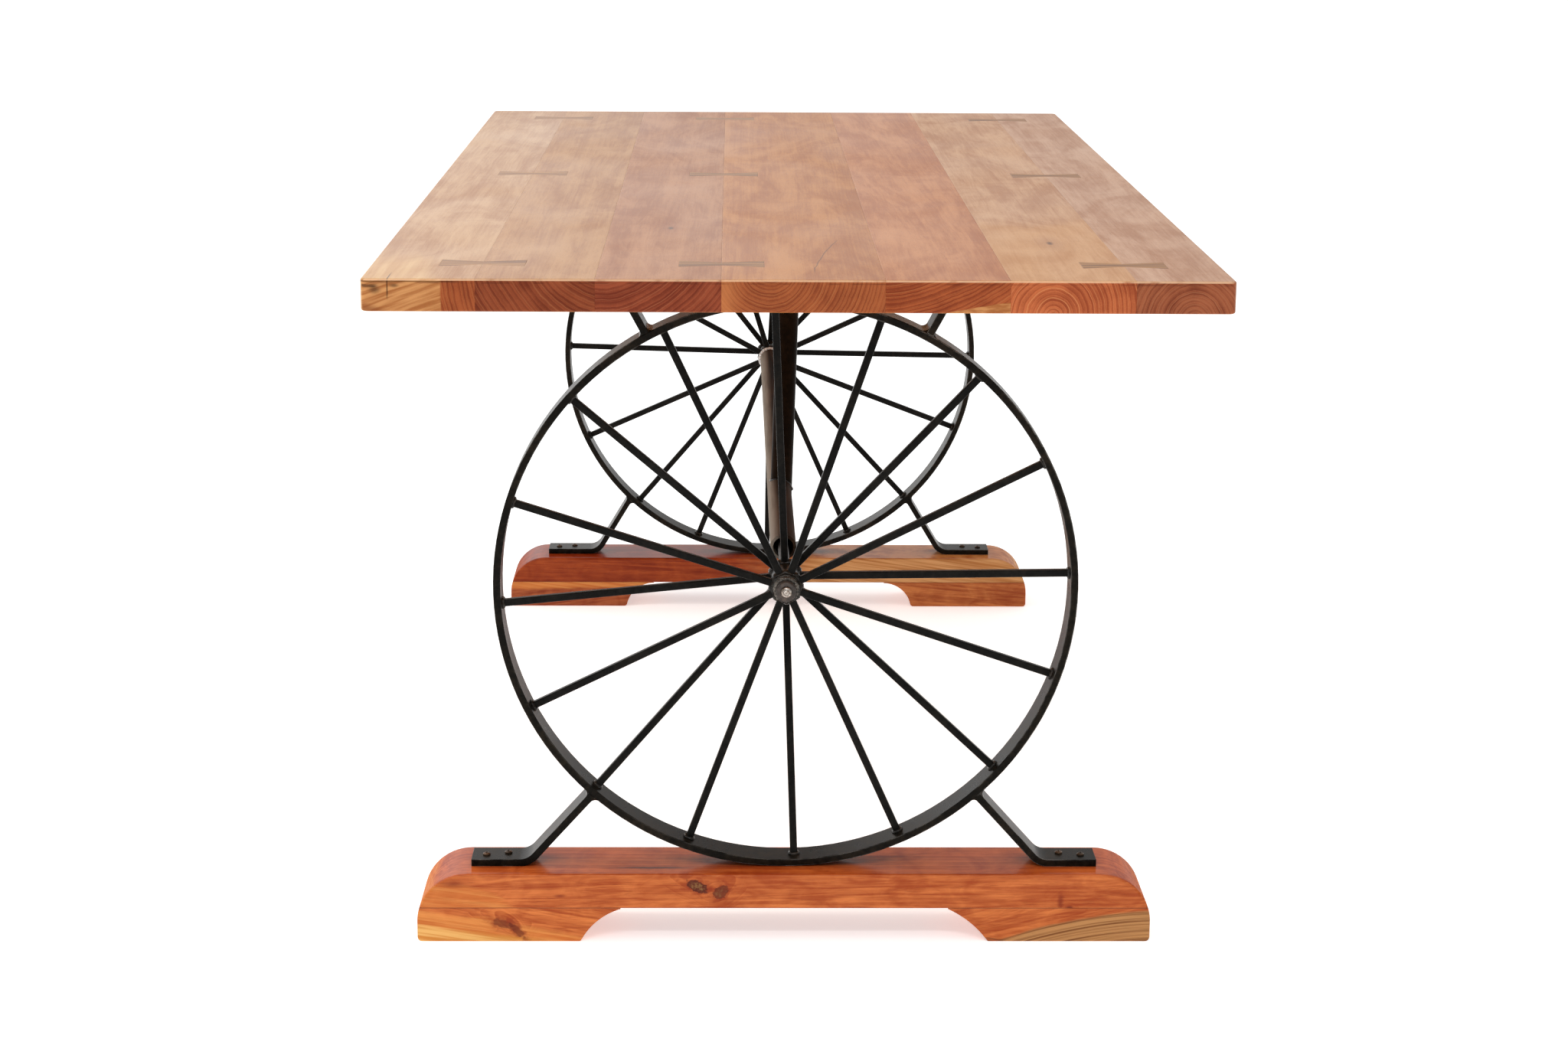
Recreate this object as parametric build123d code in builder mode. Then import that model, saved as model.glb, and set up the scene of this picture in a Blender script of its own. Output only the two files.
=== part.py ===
from build123d import *
import os
from math import asin, cos, degrees, radians, sin, sqrt, tan

os.makedirs("parts", exist_ok=True)

# A dining table on two steel wagon wheels. The wheels stand across the table, one near each
# end, on low timber feet; a pipe with a tie rod in it joins their hubs along the table.
# Frame: millimetres, origin on the floor under the middle of the top, +Y along the table,
# +X across it, +Z up. "near" is the end at -Y and "far" the end at +Y.

# ---- Driving dimensions: the timber top ----
TABLE_HEIGHT = 760.0
TOP_LENGTH = 1800.0
TOP_THICKNESS = 34.0
BOARD_WIDTHS = (117.0, 122.0, 129.0, 168.0, 128.0, 129.0, 103.0)
TOP_CORNER_RADIUS = 8.0
TOP_EDGE_EASING = 2.5

# ---- Butterfly keys let into the top across three of its joints ----
KEY_LENGTH = 90.0
KEY_END_WIDTH = 46.0
KEY_WAIST = 21.0
KEY_DEPTH = 12.0
KEY_END_ROW = 113.0  # from either end of the top to its row of keys
KEY_MIDDLE_ROW = 34.0  # the middle row lies this far past the centre of the top
LEFT_KEY_BOARD_COUNT = 1  # boards to the left of the joint that the left keys cross
CENTRE_KEY_BOARD_COUNT = 3
RIGHT_KEY_BOARD_COUNT = 6

# ---- Timber feet ----
FOOT_LENGTH = 815.0
FOOT_DEPTH = 95.0
FOOT_BEAM_HEIGHT = 39.0
FOOT_PAD_HEIGHT = 39.0
FOOT_END_RADIUS = 55.0  # each end is rounded over from the top down into the pads
FOOT_EDGE_EASING = 3.0
ARCH_FLOOR_HALF_SPAN = 225.0
ARCH_CROWN_HALF_SPAN = 182.0
PAD_TIP = 1.2
PAD_CORNER_RADIUS = 5.0

# ---- Wheels: flat-bar rim, square-bar spokes, round hub ----
TOP_OVERHANG = 165.0  # from each end of the top in to its wheel's middle plane
BASE_OFFSET = -9.0  # the base is screwed on a little to one side of the top's centre line
RIM_WIDTH = 40.0
RIM_THICKNESS = 8.0
RIM_EASING = 0.8
RIM_TOP_GAP = 7.5  # from the rim up to the underside of the top
SPOKE_COUNT = 16
SPOKE_SIZE = 8.0
SPOKE_CORNER_RADIUS = 1.4
OUTER_SPOKE_SHIFT = 12.0  # outer spokes meet the hub this far out from the wheel's middle plane
INNER_SPOKE_SHIFT = 37.0  # inner spokes meet it this far in, towards the table's middle
SPOKE_ROOT = 12.8  # a spoke is drawn from this far out from the hub's axis, then coped to the hub
# The spokes were set by hand: degrees that each leans anticlockwise from its even place,
# seen from the near end and counted clockwise from the upright one.
NEAR_SPOKE_ANGLES = (2.5, 3.5, 3, 3.5, 2.5, 3.5, 3, 1.5, 2, 2.5, 3, 4, 4, 5.5, 3.5, 3)
FAR_SPOKE_ANGLES = (-3, 0, 2, 1, -0.5, 0.5, -2, 1, -0.5, 1.5, 4, 2.5, -2, -5, -7, -5)
HUB_DIAMETER = 32.0
HUB_OUTER_REACH = 25.0  # from the wheel's middle plane to the hub's outer face
HUB_INNER_REACH = 50.0  # the hub is longer towards the table's middle
NOSE_DIAMETER = 22.0
NOSE_LENGTH = 11.0
HUB_EDGE = 1.2

# ---- Tie rod, stretcher pipe and middle post ----
ROD_DIAMETER = 12.0
ROD_END = 3.5  # how far the rod stands out of each hub nose
ROD_DOME = 2.4
PIPE_DIAMETER = 30.0
PIPE_WALL = 3.2
PIPE_SHORT = 172.0  # the pipe stops this far behind the near wheel's middle plane
POST_DIAMETER = 26.9
POST_WALL = 2.6
POST_PLACE = -250.0  # along the table: the post stands short of the middle, on the near half
POST_OFFSET = 2.5  # it stands off the pipe's centre line and leans away from it as it rises
POST_LEAN_ANGLE = 1.7
POST_LAP = 10.0  # below the pipe's centre line, on the side where the post oversails it
PLATE_WIDTH = 90.0
PLATE_THICKNESS = 5.0
PLATE_CORNER_RADIUS = 5.0

# ---- Bent straps between the rims and the timber ----
STRAP_WIDTH = 40.0
STRAP_THICKNESS = 8.0
STRAP_BEND_RADIUS = 20.0
NEAR_LOWER_FLANGE = 64.0  # from the corner of the strap's middle line to the flange's end
FAR_LOWER_FLANGE = 78.0
UPPER_FLANGE = 64.0
NEAR_LOWER_RIM_ANGLE = 42.0  # degrees from upright at which a leg leaves the rim
FAR_LOWER_RIM_ANGLE = 43.5
UPPER_RIM_ANGLE = 28.5
NEAR_LOWER_LEG_ANGLE = 42.0  # degrees that the leg itself leans from upright
FAR_LOWER_LEG_ANGLE = 31.0
UPPER_LEG_ANGLE = 28.5
STRAP_SCREW_EDGE = 16.0
STRAP_SCREW_PITCH = 24.0
STRAP_SCREW_STAGGER = 3.0

# ---- Wood screws ----
SCREW_DIAMETER = 5.0
SCREW_TAPER = 1.5  # degrees
SCREW_HEAD_DIAMETER = 8.6
SCREW_HEAD_HEIGHT = 2.6
SCREW_CROWN_RISE = 1.17
SCREW_CROWN_RUN = 1.69
SCREW_SLOT_WIDTH = 1.3
SCREW_SLOT_LENGTH = 5.0
SCREW_SLOT_DEPTH = 1.4
FOOT_SCREW_BITE = 27.0
TOP_SCREW_BITE = 20.0
PLATE_SCREW_INSET = 13.0

# ---- Clearances ----
FIT_GAP = 0.3  # between a round face and the flat or round face beside it
HOLE_GAP = 0.15  # all round a screw or rod in its hole
SAME_PLACE = 0.01  # edges and faces closer than this are taken as lying in one line

# ---- Heights and places that follow ----
UNDERSIDE = TABLE_HEIGHT - TOP_THICKNESS
FOOT_TOP = FOOT_PAD_HEIGHT + FOOT_BEAM_HEIGHT
TOP_WIDTH = sum(BOARD_WIDTHS)
RIM_RADIUS = (UNDERSIDE - RIM_TOP_GAP - FOOT_TOP - FIT_GAP) / 2
RIM_INNER_RADIUS = RIM_RADIUS - RIM_THICKNESS
HUB_HEIGHT = FOOT_TOP + FIT_GAP + RIM_RADIUS
WHEEL_Y = {"near": TOP_OVERHANG - TOP_LENGTH / 2, "far": TOP_LENGTH / 2 - TOP_OVERHANG}
OUTWARD = {"near": -1, "far": 1}  # which way along Y each wheel's outer side faces
SIDES = {"left": -1, "right": 1}
SPOKE_ANGLES = {"near": NEAR_SPOKE_ANGLES, "far": FAR_SPOKE_ANGLES}
FIRST_OUTER_SPOKE = {"near": 1, "far": 0}
POST_TOP_OFFSET = POST_OFFSET + (UNDERSIDE - HUB_HEIGHT) * tan(radians(POST_LEAN_ANGLE))
STRAP_REACH = {"lower": HUB_HEIGHT - FOOT_TOP, "upper": UNDERSIDE - HUB_HEIGHT}
STRAP_SHAPES = {  # where the leg leaves the rim, how the leg leans, and the flange's length
    ("near", "lower"): (NEAR_LOWER_RIM_ANGLE, NEAR_LOWER_LEG_ANGLE, NEAR_LOWER_FLANGE),
    ("far", "lower"): (FAR_LOWER_RIM_ANGLE, FAR_LOWER_LEG_ANGLE, FAR_LOWER_FLANGE),
    ("near", "upper"): (UPPER_RIM_ANGLE, UPPER_LEG_ANGLE, UPPER_FLANGE),
    ("far", "upper"): (UPPER_RIM_ANGLE, UPPER_LEG_ANGLE, UPPER_FLANGE),
}
STRAP_TOWARD = {"lower": -1, "upper": 1}  # which way along Z the strap leaves the hub
HOLE_RADIUS = SCREW_DIAMETER / 2 + HOLE_GAP
KEY_ROWS = {
    "near": KEY_END_ROW - TOP_LENGTH / 2,
    "middle": KEY_MIDDLE_ROW,
    "far": TOP_LENGTH / 2 - KEY_END_ROW,
}
KEYED_JOINTS = {
    "left": LEFT_KEY_BOARD_COUNT,
    "centre": CENTRE_KEY_BOARD_COUNT,
    "right": RIGHT_KEY_BOARD_COUNT,
}


def finish(block, name):
    """Name a finished piece and write it as its own STEP file."""
    block.part.label = name
    export_step(block.part, f"parts/{name}.step")


def board_edge(count):
    """X of the joint to the right of the first `count` boards."""
    return sum(BOARD_WIDTHS[:count]) - TOP_WIDTH / 2


def along_y(x, y, z):
    """A plane facing -Y whose sketch X is the table's X and whose sketch Y is up."""
    return Plane(origin=(x, y, z), x_dir=(1, 0, 0), z_dir=(0, -1, 0))


# ---- Screws: where they stand, and their holes ----


def strap_flange_end(end, level):
    """Distance from the hub's upright to the outer end of a strap's flange."""
    rim_angle, leg_angle, flange = STRAP_SHAPES[end, level]
    on_rim = Vector(sin(radians(rim_angle)), cos(radians(rim_angle))) * RIM_RADIUS
    drop = STRAP_REACH[level] - STRAP_THICKNESS / 2 - on_rim.Y
    return on_rim.X + drop * tan(radians(leg_angle)) + flange


def strap_screw_places(end, level):
    """X and Y of the four screws that hold one wheel's straps at one level."""
    outer = strap_flange_end(end, level) - STRAP_SCREW_EDGE
    places = []
    for side in SIDES.values():
        places.append((BASE_OFFSET + side * outer, WHEEL_Y[end] - STRAP_SCREW_STAGGER))
        inner = outer - STRAP_SCREW_PITCH
        places.append((BASE_OFFSET + side * inner, WHEEL_Y[end] + STRAP_SCREW_STAGGER))
    return places


def plate_screw_places():
    """X and Y of the four screws that hold the post's plate."""
    reach = PLATE_WIDTH / 2 - PLATE_SCREW_INSET
    x, y = BASE_OFFSET + POST_TOP_OFFSET, POST_PLACE
    return [(x + across * reach, y + along * reach) for across in (-1, 1) for along in (-1, 1)]


def drill(places, from_z, to_z):
    """Cut screw holes between two heights through the part being built."""
    with BuildSketch(Plane.XY.offset(from_z)) as holes:
        with Locations(*places):
            Circle(HOLE_RADIUS)
    extrude(holes.sketch, amount=to_z - from_z, mode=Mode.SUBTRACT)


def screws(name, places, head_seat, bite_end):
    """A group of cross-slotted dome-head screws, driven from head_seat towards bite_end."""
    drive = 1 if bite_end > head_seat else -1
    seat = Plane(origin=(0, 0, head_seat), x_dir=(1, 0, 0), z_dir=(0, 0, drive))
    crown = seat.offset(-SCREW_HEAD_HEIGHT)
    with BuildPart() as group:
        for x, y in places:
            spot = [(x, y * drive)]
            with BuildSketch(seat):
                with Locations(*spot):
                    Circle(SCREW_DIAMETER / 2)
            extrude(amount=abs(bite_end - head_seat), taper=SCREW_TAPER)
            with BuildSketch(crown):
                with Locations(*spot):
                    Circle(SCREW_HEAD_DIAMETER / 2)
            extrude(amount=SCREW_HEAD_HEIGHT)
        rims = group.edges().filter_by(GeomType.CIRCLE).group_by(Axis.Z)[0 if drive > 0 else -1]
        chamfer(rims, length=SCREW_CROWN_RISE, length2=SCREW_CROWN_RUN)
        with BuildSketch(crown):
            for x, y in places:
                with Locations((x, y * drive)):
                    Rectangle(SCREW_SLOT_LENGTH, SCREW_SLOT_WIDTH)
                    Rectangle(SCREW_SLOT_WIDTH, SCREW_SLOT_LENGTH)
        extrude(amount=SCREW_SLOT_DEPTH, mode=Mode.SUBTRACT)
    finish(group, name)


# ---- The timber top ----


def key_outline(row, joint):
    """The bow-tie outline of a butterfly key on the top's surface, long way across the boards."""
    half, end, waist = KEY_LENGTH / 2, KEY_END_WIDTH / 2, KEY_WAIST / 2
    near_side = [(-half, -end), (0, -waist), (half, -end)]
    far_side = [(half, end), (0, waist), (-half, end)]
    centre = (board_edge(KEYED_JOINTS[joint]), KEY_ROWS[row], TABLE_HEIGHT)
    with BuildSketch(Plane(origin=centre)) as outline:
        with BuildLine():
            Polyline(*near_side, *far_side, close=True)
        make_face()
    return outline.sketch


def butterfly_key(row, joint):
    """One dark key, flush with the top, half its length in each board."""
    with BuildPart() as key:
        extrude(key_outline(row, joint), amount=-KEY_DEPTH)
    finish(key, f"butterfly_key_{row}_{joint}")


def cut_key_pockets(index):
    """Pockets for the keys that reach into this board."""
    for joint, count in KEYED_JOINTS.items():
        if index in (count - 1, count):
            for row in KEY_ROWS:
                extrude(key_outline(row, joint), amount=-KEY_DEPTH, mode=Mode.SUBTRACT)


def drill_top():
    """Pilot holes for every screw that is driven up into the top."""
    for end in WHEEL_Y:
        drill(strap_screw_places(end, "upper"), UNDERSIDE, UNDERSIDE + TOP_SCREW_BITE + FIT_GAP)
    drill(plate_screw_places(), UNDERSIDE, UNDERSIDE + TOP_SCREW_BITE + FIT_GAP)


def top_board(index):
    """One edge-glued plank, eased round its ends and, at the sides of the top, along its edge."""
    left, right = board_edge(index), board_edge(index + 1)
    outer_sides = [x for x in (left, right) if abs(abs(x) - TOP_WIDTH / 2) < SAME_PLACE]
    with BuildPart() as board:
        with BuildSketch(Plane.XY.offset(UNDERSIDE)):
            with Locations(((left + right) / 2, 0)):
                Rectangle(right - left, TOP_LENGTH)
        extrude(amount=TOP_THICKNESS)
        for x in outer_sides:
            upright = board.edges().filter_by(Axis.Z)
            corners = upright.filter_by(lambda edge: abs(edge.center().X - x) < SAME_PLACE)
            fillet(corners, TOP_CORNER_RADIUS)
        faces = board.faces().filter_by(Axis.Z)
        rims = faces.edges().filter_by(lambda edge: not on_joint(edge, outer_sides))
        fillet(rims, TOP_EDGE_EASING)
        cut_key_pockets(index)
        drill_top()
    finish(board, f"top_board_{index + 1}")


def on_joint(edge, outer_sides):
    """True for a straight edge along Y that lies in a glued joint."""
    box = edge.bounding_box()
    runs_along = box.size.X < SAME_PLACE and box.size.Y > TOP_LENGTH / 2
    return runs_along and not any(abs(edge.center().X - x) < SAME_PLACE for x in outer_sides)


# ---- The feet ----


def foot_end_curve(side):
    """Centre, turn and reach at the glue line of a foot's rounded end, above the middle of the foot."""
    centre = (side * (FOOT_LENGTH / 2 - FOOT_END_RADIUS), FOOT_TOP - FOOT_END_RADIUS)
    rise = FOOT_PAD_HEIGHT - centre[1]
    turn = degrees(asin(rise / FOOT_END_RADIUS))
    return centre, turn, centre[0] + side * sqrt(FOOT_END_RADIUS**2 - rise**2)


def foot_beam(end):
    """The upper half of a foot: a beam with rounded-over ends that the straps stand on."""
    with BuildPart() as beam:
        with BuildSketch(along_y(BASE_OFFSET, WHEEL_Y[end] + FOOT_DEPTH / 2, 0)):
            with BuildLine():
                right, turn, right_glue = foot_end_curve(SIDES["right"])
                left, turn, left_glue = foot_end_curve(SIDES["left"])
                Line((left_glue, FOOT_PAD_HEIGHT), (right_glue, FOOT_PAD_HEIGHT))
                CenterArc(right, FOOT_END_RADIUS, turn, 90 - turn)
                Line((right[0], FOOT_TOP), (left[0], FOOT_TOP))
                CenterArc(left, FOOT_END_RADIUS, 90, 90 - turn)
            make_face()
        extrude(amount=FOOT_DEPTH)
        cheeks = beam.faces().filter_by(Axis.Y)
        rims = cheeks.edges().filter_by(lambda edge: edge.center().Z > FOOT_PAD_HEIGHT + SAME_PLACE)
        fillet(rims, FOOT_EDGE_EASING)
        drill(strap_screw_places(end, "lower"), FOOT_TOP, FOOT_TOP - FOOT_SCREW_BITE - FIT_GAP)
    finish(beam, f"{end}_foot_beam")


def foot_pad(end, side_name):
    """The lower half of a foot at one side, hollowed to an arch towards the middle."""
    side = SIDES[side_name]
    outer = side * FOOT_LENGTH / 2
    toe = side * ARCH_FLOOR_HALF_SPAN
    crown = side * ARCH_CROWN_HALF_SPAN
    tip = (crown, FOOT_PAD_HEIGHT - PAD_TIP)
    curve, turn, glue = foot_end_curve(side)
    with BuildPart() as pad:
        with BuildSketch(along_y(BASE_OFFSET, WHEEL_Y[end] + FOOT_DEPTH / 2, 0)):
            with BuildLine():
                Polyline(tip, (crown, FOOT_PAD_HEIGHT), (glue, FOOT_PAD_HEIGHT))
                CenterArc(curve, FOOT_END_RADIUS, 0 if side > 0 else 180 - turn, turn)
                Polyline((outer, curve[1]), (outer, 0), (toe, 0))
                TangentArc(tip, (toe, 0), tangent=(side, 0))
            make_face()
            fillet(vertices().group_by(Axis.Y)[0], PAD_CORNER_RADIUS)
        extrude(amount=FOOT_DEPTH)
    finish(pad, f"{end}_foot_pad_{side_name}")


# ---- The wheels ----


def hub_axis(end, shift=0.0):
    """A plane across a wheel's axis, looking along +Y, shifted along the axis."""
    return along_y(BASE_OFFSET, WHEEL_Y[end] + shift, HUB_HEIGHT)


def rim(end):
    """The tyre: a flat bar rolled into a hoop."""
    with BuildPart() as hoop:
        with BuildSketch(hub_axis(end, RIM_WIDTH / 2)):
            Circle(RIM_RADIUS)
            Circle(RIM_INNER_RADIUS, mode=Mode.SUBTRACT)
        extrude(amount=RIM_WIDTH)
        fillet(hoop.edges(), RIM_EASING)
    finish(hoop, f"{end}_rim")


def spoke_plane(end, index, shift):
    """The plane across one spoke, a little way out from the hub's axis."""
    leans = SPOKE_ANGLES[end]
    angle = radians(90 + leans[index % len(leans)] - index * 360 / SPOKE_COUNT)
    out = Vector(cos(angle), 0, sin(angle))
    centre = Vector(BASE_OFFSET, WHEEL_Y[end], HUB_HEIGHT)
    root = centre + out * SPOKE_ROOT + Vector(0, shift, 0)
    head = centre + out * (RIM_RADIUS - RIM_THICKNESS / 2)
    return Plane(origin=root, x_dir=(0, 1, 0), z_dir=head - root)


def spokes(end, layer):
    """Every second spoke of a wheel: they share one end of the hub and meet the rim's middle."""
    outer = layer == "outer"
    shift = OUTWARD[end] * (OUTER_SPOKE_SHIFT if outer else -INNER_SPOKE_SHIFT)
    first = FIRST_OUTER_SPOKE[end] if outer else 1 - FIRST_OUTER_SPOKE[end]
    with BuildPart() as bars:
        for index in range(first, SPOKE_COUNT, 2):
            with BuildSketch(spoke_plane(end, index, shift)):
                RectangleRounded(SPOKE_SIZE, SPOKE_SIZE, SPOKE_CORNER_RADIUS)
            extrude(amount=RIM_RADIUS - SPOKE_ROOT)
        with BuildSketch(hub_axis(end, RIM_RADIUS)):
            Circle(HUB_DIAMETER / 2)
        extrude(amount=2 * RIM_RADIUS, mode=Mode.SUBTRACT)
        with BuildSketch(hub_axis(end, RIM_RADIUS)):
            Circle(RIM_INNER_RADIUS)
        extrude(amount=2 * RIM_RADIUS, mode=Mode.INTERSECT)
    finish(bars, f"{end}_{layer}_spokes")


def hub_face(end, reach):
    """Y of a hub's face that lies this far outward from the wheel's middle plane."""
    return WHEEL_Y[end] + OUTWARD[end] * reach


def hub(end):
    """The barrel that the spokes are welded to, bored for the tie rod."""
    far_face = max(hub_face(end, HUB_OUTER_REACH), hub_face(end, -HUB_INNER_REACH))
    with BuildPart() as barrel:
        with BuildSketch(along_y(BASE_OFFSET, far_face, HUB_HEIGHT)):
            Circle(HUB_DIAMETER / 2)
            Circle(ROD_DIAMETER / 2 + HOLE_GAP, mode=Mode.SUBTRACT)
        extrude(amount=HUB_OUTER_REACH + HUB_INNER_REACH)
        rims = barrel.edges().filter_by(GeomType.CIRCLE).filter_by(lambda edge: edge.radius > ROD_DIAMETER)
        chamfer(rims, HUB_EDGE)
    finish(barrel, f"{end}_hub")


def hub_nose(end):
    """The small collar on a hub's outer face, round the end of the tie rod."""
    face = hub_face(end, HUB_OUTER_REACH)
    centre = (BASE_OFFSET, face, HUB_HEIGHT)
    with BuildPart() as nose:
        with BuildSketch(Plane(origin=centre, x_dir=(1, 0, 0), z_dir=(0, OUTWARD[end], 0))):
            Circle(NOSE_DIAMETER / 2)
            Circle(ROD_DIAMETER / 2 + HOLE_GAP, mode=Mode.SUBTRACT)
        extrude(amount=NOSE_LENGTH)
        rims = nose.edges().filter_by(GeomType.CIRCLE)
        outer = rims.filter_by(lambda edge: abs(edge.center().Y - face) > NOSE_LENGTH / 2)
        fillet(outer.sort_by(SortBy.RADIUS)[-1], HUB_EDGE)
    finish(nose, f"{end}_hub_nose")


# ---- The parts that run between the wheels ----


def tie_rod():
    """One long rod through both hubs and the pipe; its domed ends show in the hub noses."""
    half = hub_face("far", HUB_OUTER_REACH) + NOSE_LENGTH + ROD_END
    with BuildPart() as rod:
        with BuildSketch(along_y(BASE_OFFSET, half, HUB_HEIGHT)):
            Circle(ROD_DIAMETER / 2)
        extrude(amount=2 * half)
        fillet(rod.edges().filter_by(GeomType.CIRCLE), ROD_DOME)
    finish(rod, "tie_rod")


def stretcher_pipe():
    """The open pipe round the tie rod: it butts on the far hub and stops short of the near one."""
    near = WHEEL_Y["near"] + PIPE_SHORT
    far = hub_face("far", -HUB_INNER_REACH)
    with BuildPart() as pipe:
        with BuildSketch(along_y(BASE_OFFSET, far, HUB_HEIGHT)):
            Circle(PIPE_DIAMETER / 2)
            Circle(PIPE_DIAMETER / 2 - PIPE_WALL, mode=Mode.SUBTRACT)
        extrude(amount=far - near)
    finish(pipe, "stretcher_pipe")


def centre_post():
    """The post up to the top: it leans a little, sits astride the pipe and laps one side of it."""
    top = UNDERSIDE - PLATE_THICKNESS
    lean = radians(POST_LEAN_ANGLE)
    start = (BASE_OFFSET + POST_OFFSET, POST_PLACE, HUB_HEIGHT)
    across = Plane(origin=start, x_dir=(cos(lean), 0, -sin(lean)), z_dir=(sin(lean), 0, cos(lean)))
    with BuildPart() as post:
        with BuildSketch(across.offset(-POST_LAP)):
            Circle(POST_DIAMETER / 2)
            Circle(POST_DIAMETER / 2 - POST_WALL, mode=Mode.SUBTRACT)
        extrude(amount=POST_LAP + top - HUB_HEIGHT + POST_DIAMETER)
        with BuildSketch(Plane.XY.offset(top)):
            with Locations((BASE_OFFSET + POST_TOP_OFFSET, POST_PLACE)):
                Circle(POST_DIAMETER)
        extrude(amount=2 * POST_DIAMETER, mode=Mode.SUBTRACT)
        with BuildSketch(along_y(BASE_OFFSET, POST_PLACE + POST_DIAMETER, HUB_HEIGHT)):
            Circle(PIPE_DIAMETER / 2)
        extrude(amount=2 * POST_DIAMETER, mode=Mode.SUBTRACT)
    finish(post, "centre_post")


def post_plate():
    """The square plate that screws the post to the underside of the top."""
    with BuildPart() as plate:
        with BuildSketch(Plane.XY.offset(UNDERSIDE - PLATE_THICKNESS)):
            with Locations((BASE_OFFSET + POST_TOP_OFFSET, POST_PLACE)):
                RectangleRounded(PLATE_WIDTH, PLATE_WIDTH, PLATE_CORNER_RADIUS)
        extrude(amount=PLATE_THICKNESS)
        drill(plate_screw_places(), UNDERSIDE - PLATE_THICKNESS, UNDERSIDE)
    finish(plate, "post_plate")


# ---- The straps ----


def strap_outline(end, level):
    """Side view of a strap: a leg out from the rim, a bend, and a flange."""
    reach = STRAP_REACH[level]
    place, lean = (radians(angle) for angle in STRAP_SHAPES[end, level][:2])
    along = Vector(sin(lean), cos(lean))
    across = Vector(cos(lean), -sin(lean)) * (STRAP_THICKNESS / 2)
    on_rim = Vector(sin(place), cos(place)) * RIM_RADIUS
    start = on_rim - along * 2 * STRAP_THICKNESS
    inner_foot, outer_foot = on_rim + across, on_rim - across
    inner = inner_foot + along * ((reach - STRAP_THICKNESS - inner_foot.Y) / cos(lean))
    outer = outer_foot + along * ((reach - outer_foot.Y) / cos(lean))
    flange_end = strap_flange_end(end, level)
    with BuildSketch() as outline:
        with BuildLine():
            Polyline(
                start + across,
                inner,
                (flange_end, reach - STRAP_THICKNESS),
                (flange_end, reach),
                outer,
                start - across,
                close=True,
            )
        make_face()
        fillet(outline.vertices().sort_by_distance(inner)[0], STRAP_BEND_RADIUS)
        fillet(outline.vertices().sort_by_distance(outer)[0], STRAP_BEND_RADIUS + STRAP_THICKNESS)
    return outline.sketch


def strap(end, side_name, level):
    """A bent flat bar from the rim out to the foot below or the top above."""
    side, toward = SIDES[side_name], STRAP_TOWARD[level]
    facing = -side * toward
    origin = (BASE_OFFSET, WHEEL_Y[end] - facing * STRAP_WIDTH / 2, HUB_HEIGHT)
    with BuildPart() as bar:
        with BuildSketch(Plane(origin=origin, x_dir=(side, 0, 0), z_dir=(0, facing, 0))):
            add(strap_outline(end, level))
        extrude(amount=STRAP_WIDTH)
        with BuildSketch(hub_axis(end, RIM_WIDTH)):
            Circle(RIM_RADIUS)
        extrude(amount=2 * RIM_WIDTH, mode=Mode.SUBTRACT)
        seat = HUB_HEIGHT + toward * STRAP_REACH[level]
        drill(strap_screw_places(end, level), seat, seat - toward * STRAP_THICKNESS)
    finish(bar, f"{end}_{side_name}_{level}_strap")


# ---- Build the table ----

for board_index in range(len(BOARD_WIDTHS)):
    top_board(board_index)
for key_row in KEY_ROWS:
    for key_joint in KEYED_JOINTS:
        butterfly_key(key_row, key_joint)
for wheel_end in WHEEL_Y:
    foot_beam(wheel_end)
    for foot_side in SIDES:
        foot_pad(wheel_end, foot_side)
    rim(wheel_end)
    spokes(wheel_end, "outer")
    spokes(wheel_end, "inner")
    hub(wheel_end)
    hub_nose(wheel_end)
    for strap_side in SIDES:
        strap(wheel_end, strap_side, "lower")
        strap(wheel_end, strap_side, "upper")
    screws(
        f"{wheel_end}_foot_screws",
        strap_screw_places(wheel_end, "lower"),
        FOOT_TOP + STRAP_THICKNESS,
        FOOT_TOP - FOOT_SCREW_BITE,
    )
    screws(
        f"{wheel_end}_top_screws",
        strap_screw_places(wheel_end, "upper"),
        UNDERSIDE - STRAP_THICKNESS,
        UNDERSIDE + TOP_SCREW_BITE,
    )
tie_rod()
stretcher_pipe()
centre_post()
post_plate()
screws("plate_screws", plate_screw_places(), UNDERSIDE - PLATE_THICKNESS, UNDERSIDE + TOP_SCREW_BITE)
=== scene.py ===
# %% [markdown]
# # A dining table on two wagon wheels
#
# The table is seven lacquered hardwood planks on a welded steel base: two spoked wheels, one near
# each end, that stand on low timber feet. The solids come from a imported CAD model, in metres, and
# they already hold every shape that matters. This lesson gives them their finishes, lays the weld
# beads that join the steel, and sets up a camera, a floor and a soft studio light.
#
# The first step loads the model. Its pieces stay where they are, and nothing below changes them.
# Two foot pads are drawn a second time, with a flatter arch, and shown in place of the model's.

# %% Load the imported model
import math

import bpy
import numpy as np
from mathutils import Matrix, Vector


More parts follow.
